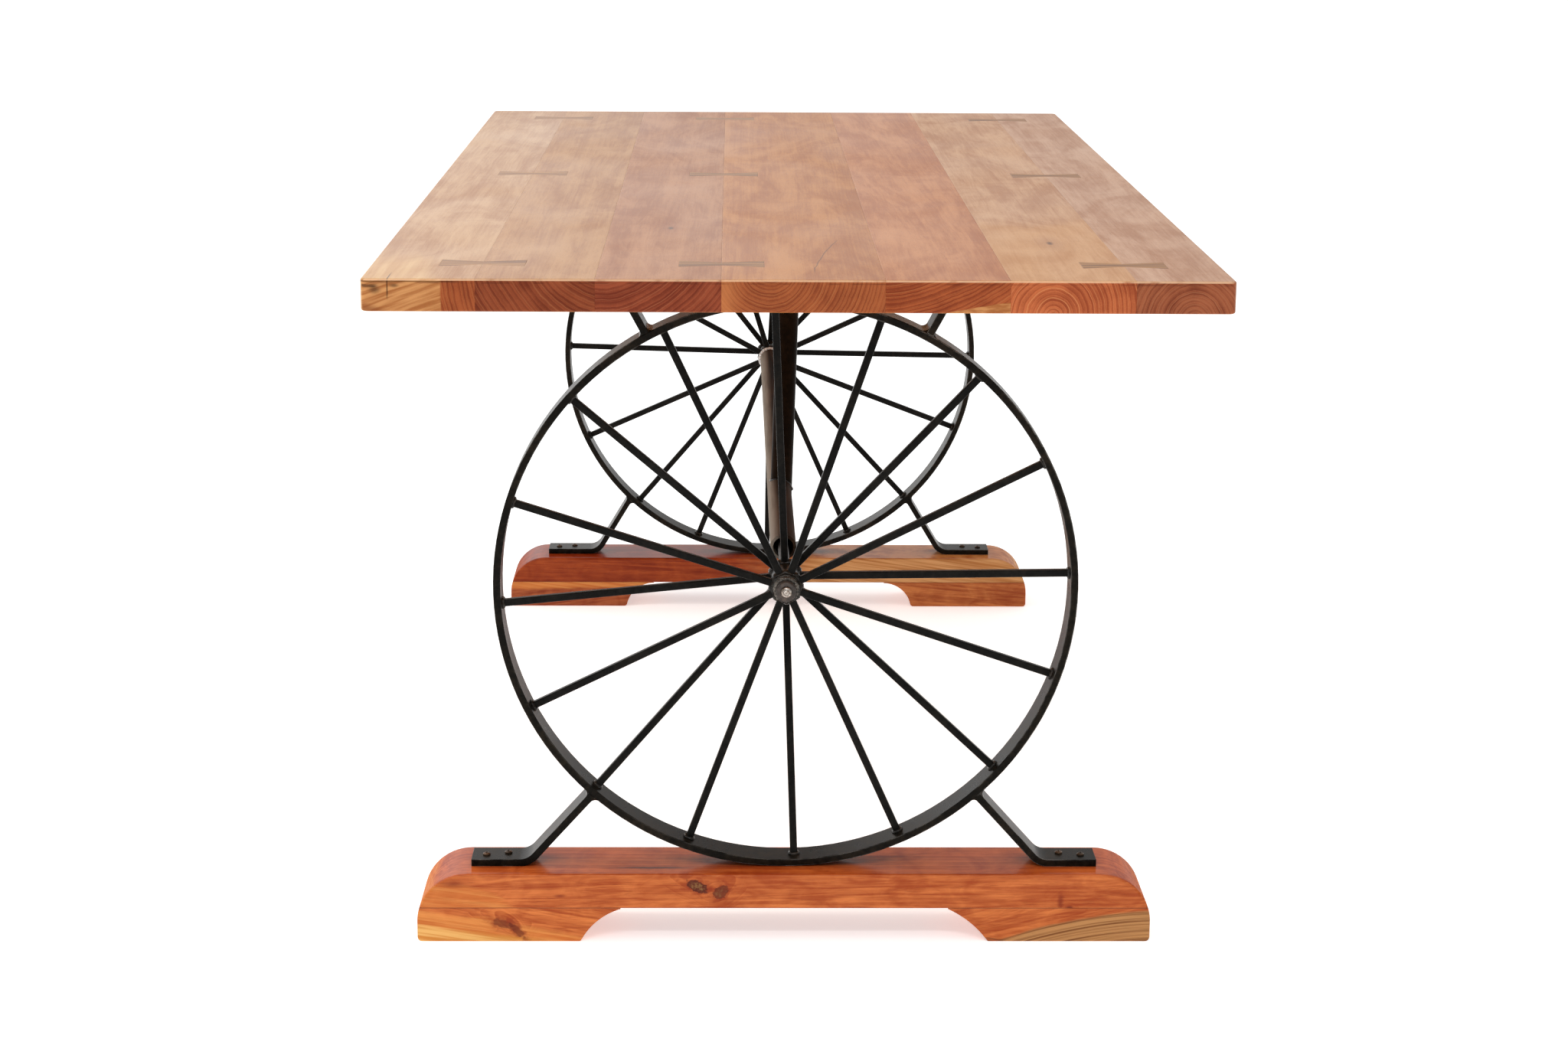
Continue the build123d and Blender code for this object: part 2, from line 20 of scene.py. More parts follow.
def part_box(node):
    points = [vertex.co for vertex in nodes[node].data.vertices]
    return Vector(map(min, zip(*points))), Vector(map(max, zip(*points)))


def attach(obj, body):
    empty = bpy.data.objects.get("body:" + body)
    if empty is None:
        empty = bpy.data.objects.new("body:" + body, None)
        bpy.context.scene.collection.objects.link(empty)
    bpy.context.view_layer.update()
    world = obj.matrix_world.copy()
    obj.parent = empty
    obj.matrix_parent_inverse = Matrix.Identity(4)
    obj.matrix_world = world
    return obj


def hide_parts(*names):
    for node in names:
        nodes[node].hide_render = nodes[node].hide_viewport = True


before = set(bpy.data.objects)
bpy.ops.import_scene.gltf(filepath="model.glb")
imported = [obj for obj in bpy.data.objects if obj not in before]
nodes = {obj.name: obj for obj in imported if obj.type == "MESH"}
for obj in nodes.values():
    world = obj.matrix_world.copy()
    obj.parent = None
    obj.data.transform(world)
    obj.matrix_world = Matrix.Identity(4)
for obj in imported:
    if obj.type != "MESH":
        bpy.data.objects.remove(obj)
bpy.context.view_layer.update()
MM = 0.001

# %% [markdown]
# ## The camera
#
# A long lens a few steps back keeps the wheels round and the planks only gently tapered. A camera
# could be aimed with a Track To constraint, but a place and three turns are easier to read and to
# check: it stands before the near end, a little to the left, and looks down along the table.

# %% Place the camera
CAMERA_PLACE = Vector((-0.0699, -3.9644, 1.2207))
CAMERA_DOWN, CAMERA_RIGHT, CAMERA_ROLL = 0.229, 0.0181, 0.0066
CAMERA_LENS = 69.59


def add_object(name, data):
    """A new object in the scene, at the origin."""
    made = bpy.data.objects.new(name, data)
    bpy.context.scene.collection.objects.link(made)
    return made


def make_camera():
    """A camera turned down, then right about the upright, then rolled about its own axis."""
    data = bpy.data.cameras.new("studio_camera")
    data.sensor_width = 36.0
    data.lens = CAMERA_LENS
    data.clip_end = 200.0
    camera = add_object("studio_camera", data)
    turn = Matrix.Rotation(-CAMERA_RIGHT, 4, "Z") @ Matrix.Rotation(math.pi / 2 - CAMERA_DOWN, 4, "X")
    roll = Matrix.Rotation(CAMERA_ROLL, 4, "Z")
    camera.matrix_world = Matrix.Translation(CAMERA_PLACE) @ turn @ roll
    bpy.context.scene.camera = camera


make_camera()

# %% [markdown]
# ## A small bench of node tools
#
# Every finish here is worked out from formulas, so that it wraps round corners as real wood and
# paint do. Wiring Math nodes by hand is long and hard to read. A `Field` is a number that varies
# over the surface, and adding two fields adds the Math node, so a formula in the code looks as it
# would on paper. A `Bench` is a node tree to add nodes to, and a `Finish` is that of one material.

# %% Fields: numbers that vary over a surface


class Field:
    """A number that varies over the surface. Sums, products and powers become Math nodes."""

    def __init__(self, bench, socket):
        self.bench = bench
        self.socket = socket

    def __rsub__(self, other):
        return self * -1 + other

    def step(self, start, end):
        """0 before start, 1 after end, and a smooth rise between. Start may be past the end."""
        if start > end:
            return 1 - self.step(end, start)
        made = self.bench.new("ShaderNodeMapRange", interpolation_type="SMOOTHSTEP")
        self.bench.feed(made.inputs["Value"], self)
        made.inputs["From Min"].default_value = start
        made.inputs["From Max"].default_value = end
        return Field(self.bench, made.outputs["Result"])


def math_node(how):
    """The method that adds one Math node of this kind."""
    return lambda field, *others: Field(
        field.bench, field.bench.add("ShaderNodeMath", (field, *others), operation=how))


FIELD_MATH = {
    "__add__": "ADD", "__radd__": "ADD", "__sub__": "SUBTRACT", "__mul__": "MULTIPLY",
    "__rmul__": "MULTIPLY", "__truediv__": "DIVIDE", "__pow__": "POWER", "abs": "ABSOLUTE",
    "fract": "FRACT", "most": "MAXIMUM", "least": "MINIMUM",
}
for method, how in FIELD_MATH.items():
    setattr(Field, method, math_node(how))
print("fields know", len(FIELD_MATH), "kinds of sums")

# %% Benches and finishes


class Bench:
    """A node tree, with short ways to add nodes to it."""

    def __init__(self, tree):
        self.tree = tree

    def new(self, kind, **settings):
        made = self.tree.nodes.new(kind)
        for name, value in settings.items():
            setattr(made, name, value)
        return made

    def feed(self, socket, value):
        if isinstance(value, Field):
            value = value.socket
        if isinstance(value, bpy.types.NodeSocket):
            self.tree.links.new(value, socket)
        else:
            socket.default_value = value

    def add(self, kind, values, **settings):
        """A node with its first inputs fed in order. Gives back its first output."""
        made = self.new(kind, **settings)
        for socket, value in zip(made.inputs, values):
            self.feed(socket, value)
        return made.outputs[0]

    def split(self, vector):
        made = self.new("ShaderNodeSeparateXYZ")
        self.feed(made.inputs[0], vector)
        return [Field(self, out) for out in made.outputs]

    def noise(self, x, y, z, detail=2, rough=0.5, distort=0):
        """Soft noise from 0 to 1 about 0.5, at three fields that say how fast it changes."""
        at = self.add("ShaderNodeCombineXYZ", (x, y, z))
        made = self.new("ShaderNodeTexNoise")
        self.feed(made.inputs["Vector"], at)
        values = {"Scale": 1, "Detail": detail, "Roughness": rough, "Distortion": distort}
        for name, value in values.items():
            made.inputs[name].default_value = value
        return Field(self, made.outputs[0])


EDGE_ROUND = 0.8 * MM


class Finish(Bench):
    """One material: its shader, and each surface point's place, also along, across and up the grain."""

    def __init__(self, name, grain="X"):
        self.material = bpy.data.materials.new(name)
        self.material.use_nodes = True
        super().__init__(self.material.node_tree)
        self.shader = self.tree.nodes["Principled BSDF"]
        place = self.new("ShaderNodeTexCoord")
        self.x, self.y, self.z = self.split(place.outputs["Object"])
        self.grain = (self.y, self.x, self.z) if grain == "Y" else (self.x, self.y, self.z)
        self.facing = [field.abs() for field in self.split(place.outputs["Normal"])]

    def vary(self, along, across, up, seed=0, **looks):
        """Noise that changes this fast along, across and up the grain."""
        a, b, c = self.grain
        return self.noise(a * along + seed, b * across, c * up, **looks)

    def waver(self, along, across, up, seed=0, detail=3, **looks):
        """The same noise, centred on 0."""
        return self.vary(along, across, up, seed, detail=detail, **looks) - 0.5

    def near(self, centre, reach):
        """1 at a place and 0 beyond an ellipsoid round it: (1 - distance squared), squared."""
        parts = [(field - c) / r for field, c, r in zip((self.x, self.y, self.z), centre, reach)]
        fall = (1 - (parts[0] ** 2 + parts[1] ** 2 + parts[2] ** 2)).most(0)
        return fall * fall

    def mix(self, amount, first, second, how="MIX"):
        """Two colours mixed by a field."""
        made = self.new("ShaderNodeMix", data_type="RGBA", blend_type=how)
        self.feed(made.inputs[0], amount)
        for socket, value in ((made.inputs[6], first), (made.inputs[7], second)):
            self.feed(socket, (*value, 1) if isinstance(value, tuple) else value)
        return made.outputs[2]

    def lay(self, amount, colour):
        """Lays a colour over the piece's present one."""
        self.colour = self.mix(amount, self.colour, colour)

    def corner(self, radius):
        """The surface's normal as if its corners were rounded."""
        made = self.new("ShaderNodeBevel", samples=4)
        made.inputs["Radius"].default_value = radius
        return made.outputs[0]

    def bump(self, height, distance, strength=1, socket="Normal", edge=EDGE_ROUND):
        """Relief: height times distance in metres, on corners that shade as if rounded by edge."""
        made = self.new("ShaderNodeBump")
        made.inputs["Strength"].default_value = strength
        made.inputs["Distance"].default_value = distance
        self.feed(made.inputs["Normal"], self.corner(edge))
        self.feed(made.inputs["Height"], height)
        self.feed(self.shader.inputs[socket], made.outputs[0])

    def set(self, **values):
        """Shader sockets by name, with _ for a space."""
        for name, value in values.items():
            self.feed(self.shader.inputs[name.replace("_", " ")], value)


def tone(red, green, blue):
    """A colour as a screen shows it, 0 to 255 each, turned into the light that Blender mixes."""
    parts = [v / 255 for v in (red, green, blue)]
    return tuple(v / 12.92 if v < 0.04 else ((v + 0.055) / 1.055) ** 2.4 for v in parts)


def times(colour, factors):
    """A colour made darker, lighter or warmer by three factors."""
    return tuple(c * f for c, f in zip(colour, factors))


print("bench ready:", Finish.__name__)

# %% [markdown]
# ## How wood grows
#
# A plank is cut from a trunk whose rings stand round a pith line. A texture that repeats stripes
# looks like paper on the sides and wrong on the ends. Here the wood is solid: each surface point
# asks how far it lies from its plank's own pith. On an end face that distance draws arcs, on a
# long face it draws straight grain and flames, and the two agree at the edge.
#
# Counted in rings, the distance tells where in its year a point grew. The count runs unevenly,
# because good years are wide and dry ones narrow. In each ring the wood darkens outwards, and a
# thin pale line of soft cells ends the year, stronger in some years than in others.

# %% Growth rings, fibres and pores


def grow(finish, recipe, swirl=0):
    """The fields of one piece of wood, by name.

    Reach = distance from a pith line that drifts along the piece, bent by slow noise and, round a
    knot, by swirl. Count = reach in rings, made uneven. Bands = noise along the count. Year = the
    fraction of the count. Line = where the year is half over, for the stronger years.
    """
    along, across, up = finish.grain
    seed, bend = recipe["seed"], 20 * MM
    sway = finish.waver(1.6, 6, 6, seed)
    lift = finish.noise(along * 1.6 - seed, across * 6 + 9, up * 6, detail=3) - 0.5
    side = across - along * recipe["drift"][0] + sway * bend - recipe["pith"][0]
    rise = up - along * recipe["drift"][1] + lift * bend - recipe["pith"][1]
    reach = (side * side + rise * rise) ** 0.5 + finish.vary(12, 110, 110, detail=1) * (1.6 * MM) + swirl
    count = reach / recipe["ring"]
    count = count + finish.noise(count * 0.37 + seed, 0, 0, detail=1) * 1.6
    year = count.fract() - 0.5
    strength = finish.noise(count * 0.9 - seed, 5, 0, detail=0).step(0.34, 0.66)
    return {
        "bands": finish.noise(count * 0.45 + seed, 2, 0, detail=3, rough=0.65) - 0.5,
        "year": year,
        "line": year.abs().step(0.11, 0.03) * strength,
        "streaks": finish.waver(9, 420, 420, seed, rough=0.6),
        "pores": finish.vary(70, 1300, 1300, -seed, detail=0).step(0.69, 0.76),
    }


print("wood formulas ready")

# %% [markdown]
# ## The planks of the top
#
# Seven planks of unequal width, from different trees: some cut near the pith, with round arcs on
# the end, and some from further out, with flat or steep lines. Each plank has its own pith place,
# and one tone for its face and one for its end, which drinks more lacquer and turns redder.
#
# A slow cloud of darker smears runs through the faces, and a ripple across the grain shows where
# fibres wave. The lacquer is a clear coat over matt wood. Seen low along the table it mirrors the
# white room, which lays a milky veil over the planks, so its strength drifts a little too.

# %% Plank recipes


def recipes(rows):
    """Tables of wood, from rows of name, pith, drift, ring, seed, tone of the face, tone of the end."""
    keys = ("pith", "drift", "ring", "seed", "face", "end")
    return {name: dict(zip(keys, (*row[:4], *(tone(*t) for t in row[4:])))) for name, *row in rows}


PLANKS = recipes([
    ("top_board_1", (-0.15, 0.79), (0.012, 0.004), 0.005, 3.1, (180, 134, 92), (139, 67, 35)),
    ("top_board_2", (-0.186, 0.83), (-0.01, 0.01), 0.0058, 11.7, (168, 116, 68), (122, 56, 31)),
    ("top_board_3", (-0.19, 0.822), (0.015, -0.012), 0.0056, 23.9, (163, 105, 62), (127, 57, 34)),
    ("top_board_4", (-0.022, 0.777), (0.006, 0.008), 0.004, 37.3, (172, 108, 52), (141, 71, 38)),
    ("top_board_5", (0.075, 0.93), (-0.012, 0.014), 0.0042, 41.9, (177, 111, 62), (145, 69, 36)),
    ("top_board_6", (0.262, 0.719), (0.004, -0.006), 0.0052, 58.3, (183, 133, 92), (168, 86, 50)),
    ("top_board_7", (0.398, 0.722), (-0.006, 0.005), 0.0046, 67.1, (180, 134, 102), (134, 70, 44)),
])
print("recipes for", list(PLANKS))

# %% The lacquered plank finish


def lacquer(finish, coat, rough):
    """A clear coat over matt wood, with a faint slow wave in the coat's surface."""
    finish.set(Coat_Weight=coat, Coat_IOR=1.5, Coat_Roughness=0.2)
    finish.set(Roughness=rough, Specular_IOR_Level=0)
    wave = finish.noise(finish.x * 9, finish.y * 5, finish.z * 9)
    finish.bump(wave, 1.2 * MM, 1, "Coat Normal", 1.6 * MM)


def toned(finish, base, level, dark, pale, over):
    """Wood from dark to pale, as factors of a base, as level goes from 0 to 1, then rows laid over it."""
    wood = finish.mix(level.step(0, 1), times(base, dark), times(base, pale))
    for amount, factors in over:
        wood = finish.mix(amount, wood, times(base, factors))
    return wood


def face_wood(finish, grown, base, seed):
    """Colour along a plank, with its smears and ripples.

    Smears are clouds slightly longer than wide, and ripples are bent bands across the grain that
    fade in and out. The base turns darker in both and lighter between them.
    """
    cloud = finish.waver(3.4, 11, 6, seed, 5, rough=0.6, distort=1.3)
    ripple = finish.waver(26, 7, 7, seed, rough=0.55, distort=0.6)
    ripple = ripple * finish.vary(3.2, 6, 3, -seed).step(0.35, 0.7)
    ribbon = finish.waver(1.1, 42, 42, seed, 2)
    flow = finish.waver(6, 75, 75, -seed, 4, rough=0.6, distort=1.6)
    level = cloud * 2 + ribbon * 0.6 + flow * 0.9 + grown["streaks"] * 0.45 + ripple * 0.6
    level = level + grown["bands"] * 0.8 + grown["year"] * 0.1 + 0.5
    over = (grown["line"] * 0.16, (1.3, 1.5, 1.7)), (grown["pores"] * 0.25, (0.35, 0.25, 0.2))
    return toned(finish, base, level, (0.8, 0.68, 0.56), (1.16, 1.28, 1.42), over), cloud, ripple


def end_wood(finish, grown, base, seed):
    """Colour of sawn ends: dark and light years, with thin pale lines between them."""
    along, across, up = finish.grain
    blotch = finish.noise(along * 4, across * 30 + seed, up * 30, detail=3) - 0.5
    speck = finish.noise(along * 4, across * 900 + seed, up * 900, detail=1) - 0.5
    level = grown["bands"] * 1.5 + grown["year"] * 0.5 + blotch * 1.3 + speck * 0.35 + 0.5
    over = [(grown["line"] * 0.62, (1.6, 2.5, 2.8))]
    return toned(finish, base, level, (0.68, 0.55, 0.52), (1.34, 1.5, 1.52), over)


print("lacquer and plank colours ready")

# %% [markdown]
# ### Marks that only some planks have
#
# Sapwood is the pale outer wood just under the bark. Its border follows the rings, a little wavy.
# A check is a crack that opened as the plank dried. Both are drawn where a field is near a line,
# which is simple and stays sharp at any distance. A carved crack would need a much finer mesh.

# %% Sapwood, checks and pin knots
SAPWOOD_DARK, SAPWOOD_PALE = tone(160, 98, 52), tone(202, 144, 90)
SOFT_DARK, SOFT_PALE = tone(192, 144, 92), tone(214, 174, 122)
CHECK = (0.045, 0.018, 0.008)
# The pale tone of the painted highlight along the planks' upper end edges.
EDGE_HIGHLIGHT = tone(242, 200, 160)
TOP_HEIGHT, HALF_LENGTH, HALF_WIDTH = 0.76, 0.9, 0.448


def first_plank_marks(finish, end):
    """Sapwood along the outer side near one end, a brown band under it, and drying checks."""
    x, y, z = finish.x, finish.y, finish.z
    waver = finish.noise(x * 22, y * 3, z * 22, detail=3) - 0.5
    corner = (x + (y + HALF_LENGTH) * 0.22 + waver * 0.05).step(-0.345, -0.4)
    corner = corner * (y + waver * 0.3).step(-0.6, -0.84)
    sap = (x + waver * 0.003).step(-0.3645, -0.3665) * end + corner * (1 - end) * 0.75
    grain = finish.noise((x + z * 0.35) * 16, y * 5, (z - x * 0.35) * 260, detail=3).step(0.32, 0.68)
    pale = finish.mix(grain, SAPWOOD_DARK, SAPWOOD_PALE)
    finish.lay(sap * 0.92, finish.mix(end, finish.mix(grain, SOFT_DARK, SOFT_PALE), pale))
    low = (z + (x + HALF_WIDTH) * 0.42 + waver * 0.008).step(0.741, 0.7325) * end * sap
    finish.lay(low * 0.65, tone(122, 62, 30))
    seam = (x + 0.4205 + waver * 0.004).abs().step(0.001, 0.0002) * z.step(0.736, 0.746)
    scar = (z - 0.7535 + (x + HALF_WIDTH) * 0.03 + waver * 0.01).abs().step(0.0026, 0.0006)
    scar = scar * end * x.step(-0.392, -0.415) * waver.step(-0.1, 0.06)
    lip = (z - 0.7572 + waver * 0.001).abs().step(0.0011, 0.0004) * x.step(-0.34, -0.356)
    blots = finish.near((-0.433, -HALF_LENGTH, 0.7485), (0.009, 0.03, 0.006))
    blots = blots + finish.near((-0.413, -HALF_LENGTH, 0.753), (0.007, 0.03, 0.003))
    dark = (seam * y.step(-0.845, -0.885) + scar * 0.8 + lip * 0.7 + blots * 0.8).least(1)
    finish.lay(dark * 0.85, CHECK)


def fourth_plank_marks(finish, end):
    """A thin curved check on the face near one end, and a golden side to the end grain."""
    x, y = finish.x, finish.y
    waver = finish.noise(x * 10, y * 30, 1, detail=3) - 0.5
    path = x - 0.016 - ((y + 0.86).most(0) ** 1.5) * 0.245 + waver * 0.005
    check = path.abs().step(0.0009, 0.0003) * y.step(-0.86, -0.82) * y.step(-0.575, -0.64)
    golden = (x + waver * 0.02).step(-0.055, -0.079) * end
    finish.lay(golden * 0.55, tone(196, 122, 72))
    finish.lay(check * 0.6, CHECK)


def fifth_plank_marks(finish, end):
    """A wedge of sapwood along the lower edge that runs out toward the middle."""
    x, y, z = finish.x, finish.y, finish.z
    waver = finish.noise(x * 30, y * 4, z * 30, detail=3) - 0.5
    sap = (z - ((x - 0.15) * 0.17).most(0) + waver * 0.004).step(0.7275, 0.7262)
    grain = finish.noise(x * 60, y * 5, z * 400)
    pale = finish.mix(grain.step(0.35, 0.65), SAPWOOD_DARK, times(SAPWOOD_PALE, (0.95, 0.93, 0.9)))
    finish.lay(sap * 0.9, pale)


def sixth_plank_marks(finish, end):
    """A yellower stretch of face near one end, with a pin knot in it."""
    waver = finish.noise(finish.x * 12, finish.y * 5, 4, detail=3) - 0.5
    gold = (finish.y + waver * 0.5).step(-0.4, -0.58) * (1 - end)
    finish.lay(gold * 0.32, tone(200, 142, 76))
    pin_knot(finish, 0.284, -0.618)


def pin_knot(finish, x, y):
    """A small dark knot at (x, y) on the face, in a browner halo."""
    for reach, part, colour in (
        ((0.02, 0.085, 0.03), 0.3, tone(130, 70, 44)),
        ((0.005, 0.018, 0.02), 0.8, tone(60, 36, 26)),
    ):
        finish.lay(finish.near((x, y, TOP_HEIGHT), reach) * part, colour)


PLANK_MARKS = {
    "top_board_1": first_plank_marks,
    "top_board_3": lambda finish, end: pin_knot(finish, -0.139, -0.504),
    "top_board_4": fourth_plank_marks,
    "top_board_5": fifth_plank_marks,
    "top_board_6": sixth_plank_marks,
}
print("own marks on", len(PLANK_MARKS), "planks")

# %% Finish the planks


def painted_edge_highlight(finish, base, seed):
    """Along each end's upper edge, a thin pale line of painted highlight, and a dark one under it."""
    edge_line_noise = finish.noise(finish.x * 46, seed, 0, detail=3)
    at_end = finish.y.abs().step(HALF_LENGTH - 2.2 * MM, HALF_LENGTH - 1.2 * MM)
    below_top = TOP_HEIGHT - finish.z
    pale = (below_top - 1.1 * MM).abs().step(1.2 * MM, 0.5 * MM) * at_end * edge_line_noise.step(0.18, 0.5)
    dark = (below_top - 3.8 * MM - edge_line_noise * (0.6 * MM)).abs().step(1.0 * MM, 0.4 * MM)
    finish.lay(dark * at_end * edge_line_noise.step(0.62, 0.42) * 0.45, times(base, (0.35, 0.3, 0.3)))
    finish.lay(pale * 0.6, EDGE_HIGHLIGHT)


def top_board_finish(name, recipe):
    """One plank: face wood, redder end grain, its own marks, and lacquer."""
    finish = Finish(name + "_finish", "Y")
    seed = recipe["seed"]
    grown = grow(finish, recipe)
    finish.colour, cloud, ripple = face_wood(finish, grown, recipe["face"], seed)
    side, end = (finish.facing[i].step(0.45, 0.75) for i in (0, 1))
    finish.lay(side, finish.mix(1, finish.colour, (0.8, 0.62, 0.55), "MULTIPLY"))
    finish.lay(end, end_wood(finish, grown, recipe["end"], seed))
    if name in PLANK_MARKS:
        PLANK_MARKS[name](finish, end)
    # Painted highlight: a thin pale line along each end's upper edge, with a darker line under it.
    painted_edge_highlight(finish, recipe["end"], seed)
    finish.set(Base_Color=finish.colour)
    haze = finish.noise(finish.x * 5 + seed, finish.y * 2.6, 7, detail=3, distort=0.6) - 0.5
    lacquer(finish, (haze * 0.32 + cloud * 0.12 + 0.45) * (1 - end * 0.6), grown["bands"] * 0.25 + 0.36)
    finish.bump(grown["bands"] * 0.5 - grown["pores"] * 1.2 + ripple * 0.8, 0.1 * MM, 0.6)
    return finish.material


def finish_piece(name, material):
    """Gives a CAD piece its finish."""
    mesh = nodes[name].data
    mesh.materials.clear()
    mesh.materials.append(material)


for plank, recipe in PLANKS.items():
    finish_piece(plank, top_board_finish(plank, recipe))
print(len(PLANKS), "planks finished")

# %% [markdown]
# ## The butterfly keys
#
# A butterfly key is a bow-tie of hard dark wood let into two planks so that they can't part. Its
# grain runs the long way, across the joint. It lies flush under the same lacquer, so only its
# colour tells it apart.

# %% Finish the keys


def key_finish():
    """Dark striped wood with its grain along X."""
    finish = Finish("key_finish")
    stripes = finish.vary(5, 150, 150, detail=3, rough=0.65)
    fibre = finish.vary(14, 600, 600)
    level = (stripes * 0.75 + fibre * 0.35).step(0.38, 0.72)
    finish.set(Base_Color=finish.mix(level, tone(104, 62, 34), tone(172, 122, 70)))
    lacquer(finish, 0.42, 0.36)
    finish.bump(stripes, 0.06 * MM, 0.5)
    return finish.material


key_material = key_finish()
keys = [name for name in nodes if name.startswith("butterfly_key")]
for name in keys:
    finish_piece(name, key_material)
print(len(keys), "keys finished")

# %% [markdown]
# ## The timber feet
#
# Each foot is a beam with a pad glued under each end. The wood is the same kind as the top, stained
# a strong orange, and here the grain runs along X. The pads are cut at an angle to the rings, so
# their grain climbs. Each piece again has its own pith, and a slope that tilts the grain.

# %% Foot recipes
FOOT_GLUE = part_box("near_foot_beam")[0].z
NEAR_Y = sum(p.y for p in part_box("near_foot_beam")) / 2
FAR_Y = sum(p.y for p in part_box("far_foot_beam")) / 2
FOOT_FRONT = -0.7825
FEET = recipes([
    ("near_foot_beam", (NEAR_Y + 0.085, 0.01), (0.02, 0.035), 0.008, 4.7, (196, 103, 52)),
    ("near_foot_pad_left", (NEAR_Y + 0.07, -0.15), (0.00, -0.2), 0.007, 9.3, (198, 105, 52)),
    ("near_foot_pad_right", (NEAR_Y + 0.08, -0.19), (0.00, 0.24), 0.0068, 13.1, (197, 104, 52)),
    ("far_foot_beam", (FAR_Y + 0.06, 0.01), (0.01, -0.03), 0.0066, 17.9, (152, 62, 24)),
    ("far_foot_pad_left", (FAR_Y + 0.08, -0.12), (0.00, 0.16), 0.0066, 21.3, (160, 80, 44)),
    ("far_foot_pad_right", (FAR_Y + 0.07, -0.14), (0.00, -0.1), 0.0064, 29.7, (186, 104, 54)),
])
print("recipes for", list(FEET))

# %% Sapwood of the feet


def below(field, border, soft):
    """1 below a border and 0 above it, with a soft edge."""
    return (field - border).step(soft, -soft)


def foot_sapwood(finish, name):
    """Pale wood below a sloping border on the near pieces, and on one end of the far foot."""
    x, y, z = finish.x, finish.y, finish.z
    waver = finish.waver(16, 8, 30) * (12 * MM)
    stripe = finish.noise(x * 7, y * 40, (z + x * 0.15) * 260, detail=3).step(0.36, 0.62)
    gold = finish.mix(stripe, tone(200, 112, 50), tone(222, 146, 76))
    if name == "near_foot_beam":
        border = 0.065 - ((x + 0.402) / 0.094).most(0) ** 3.5 * 0.026
        finish.lay(below(z + waver, border, 4 * MM) * x.step(-0.3, -0.33) * 0.55, gold)
    elif name == "near_foot_pad_left":
        upper = below(z + waver, (x + 0.413) * -0.1 + 0.034, 4 * MM) * x.step(-0.305, -0.345)
        wedge = below(z + waver, (x + 0.3) * -0.2 + 0.019, 4 * MM) * x.step(-0.322, -0.3)
        lower = below(z + waver, (x + 0.413) * -0.115 + 0.018, 3 * MM)
        finish.lay((upper + wedge).least(1) * 0.75, gold)
        finish.lay(lower * 0.9, finish.mix(stripe, tone(206, 136, 62), tone(232, 182, 108)))
    elif name == "near_foot_pad_right":
        border = 0.036 - (((0.41 - x) / 0.182).most(0) ** 1.8) * 0.035
        line = finish.noise(x * 4, y * 20, (z - border) * 480, detail=3, rough=0.65).step(0.34, 0.62)
        olive = finish.mix(line, tone(116, 74, 40), tone(188, 138, 86))
        finish.lay(below(z + waver * 0.4, border, 1.8 * MM) * 0.92, olive)
        chips = finish.near((0.222, FOOT_FRONT, 0.002), (0.018, 0.05, 0.006))
        finish.lay(chips * stripe * 0.8, tone(60, 30, 22))
    elif name == "far_foot_beam":
        tan = finish.mix(stripe, tone(178, 118, 64), tone(214, 160, 104))
        finish.lay((x + waver * 9).step(-0.05, 0.07) * 0.9, tan)
    elif name == "far_foot_pad_left":
        finish.lay(below(FOOT_GLUE - z + waver, 10 * MM, 3 * MM) * 0.8, gold)


# %% Knots of the feet
KNOTS = {  # centre, half length, half width, lean of the long way, how much olive heart shows
    "near_foot_beam": (
        ((-0.1065, 0.0645), 0.0135, 0.0068, -0.45, 0.9),
        ((-0.08, 0.0575), 0.01, 0.0074, 0.6, 0.45),
        ((0.308, 0.038), 0.004, 0.0028, 0, 0),
    ),
    "near_foot_pad_left": (
        ((-0.321, 0.02), 0.013, 0.005, -0.3, 0),
        ((-0.306, 0.0125), 0.012, 0.0038, -0.8, 0),
    ),
}


def knot_shape(finish, knot, spread, rough):
    """1 in a knot's heart and 0 outside: 1 - distance squared in its leaning oval, made ragged."""
    (x, z), long, wide, lean, _ = knot
    dx, dz = finish.x - x, finish.z - z
    u = (dx * math.cos(lean) + dz * math.sin(lean)) / (long * spread)
    v = (dz * math.cos(lean) - dx * math.sin(lean)) / (wide * spread)
    front = (finish.y - NEAR_Y).step(-0.03, -0.045)
    return ((1 - u * u - v * v + rough) * front).most(0)


def knot_swirl(finish, name):
    """How far the rings bend round the knots of a piece, in metres."""
    return sum(knot_shape(finish, knot, 3.2, 0) * (12 * MM) for knot in KNOTS.get(name, ()))


def paint_knots(finish, name):
    """Each knot: a ragged red shadow, a dark broken ring, and where it shows a paler olive heart."""
    fine = finish.waver(240, 0, 240, 0, 4, rough=0.65) * 2.2
    coarse = finish.waver(70, 0, 110, distort=1) * 2.6
    for knot in KNOTS.get(name, ()):
        core = knot_shape(finish, knot, 1.05, fine + coarse * 0.4)
        heart = finish.mix(fine.step(-0.4, 0.4), tone(96, 46, 28), tone(138, 98, 58))
        for amount, colour in (
            (knot_shape(finish, knot, 1.9, coarse).step(0, 0.9) * 0.6, tone(138, 50, 24)),
            (core.step(0.05, 0.3) * (0.45 + knot[4] * 0.4), tone(66, 26, 20)),
            (core.step(0.55, 1) * (coarse + fine).step(-0.55, 0.1) * knot[4], heart),
        ):
            finish.lay(amount, colour)


print(sum(len(knots) for knots in KNOTS.values()), "knots")

# %% The foot finish
SPLIT_Y = -0.7595


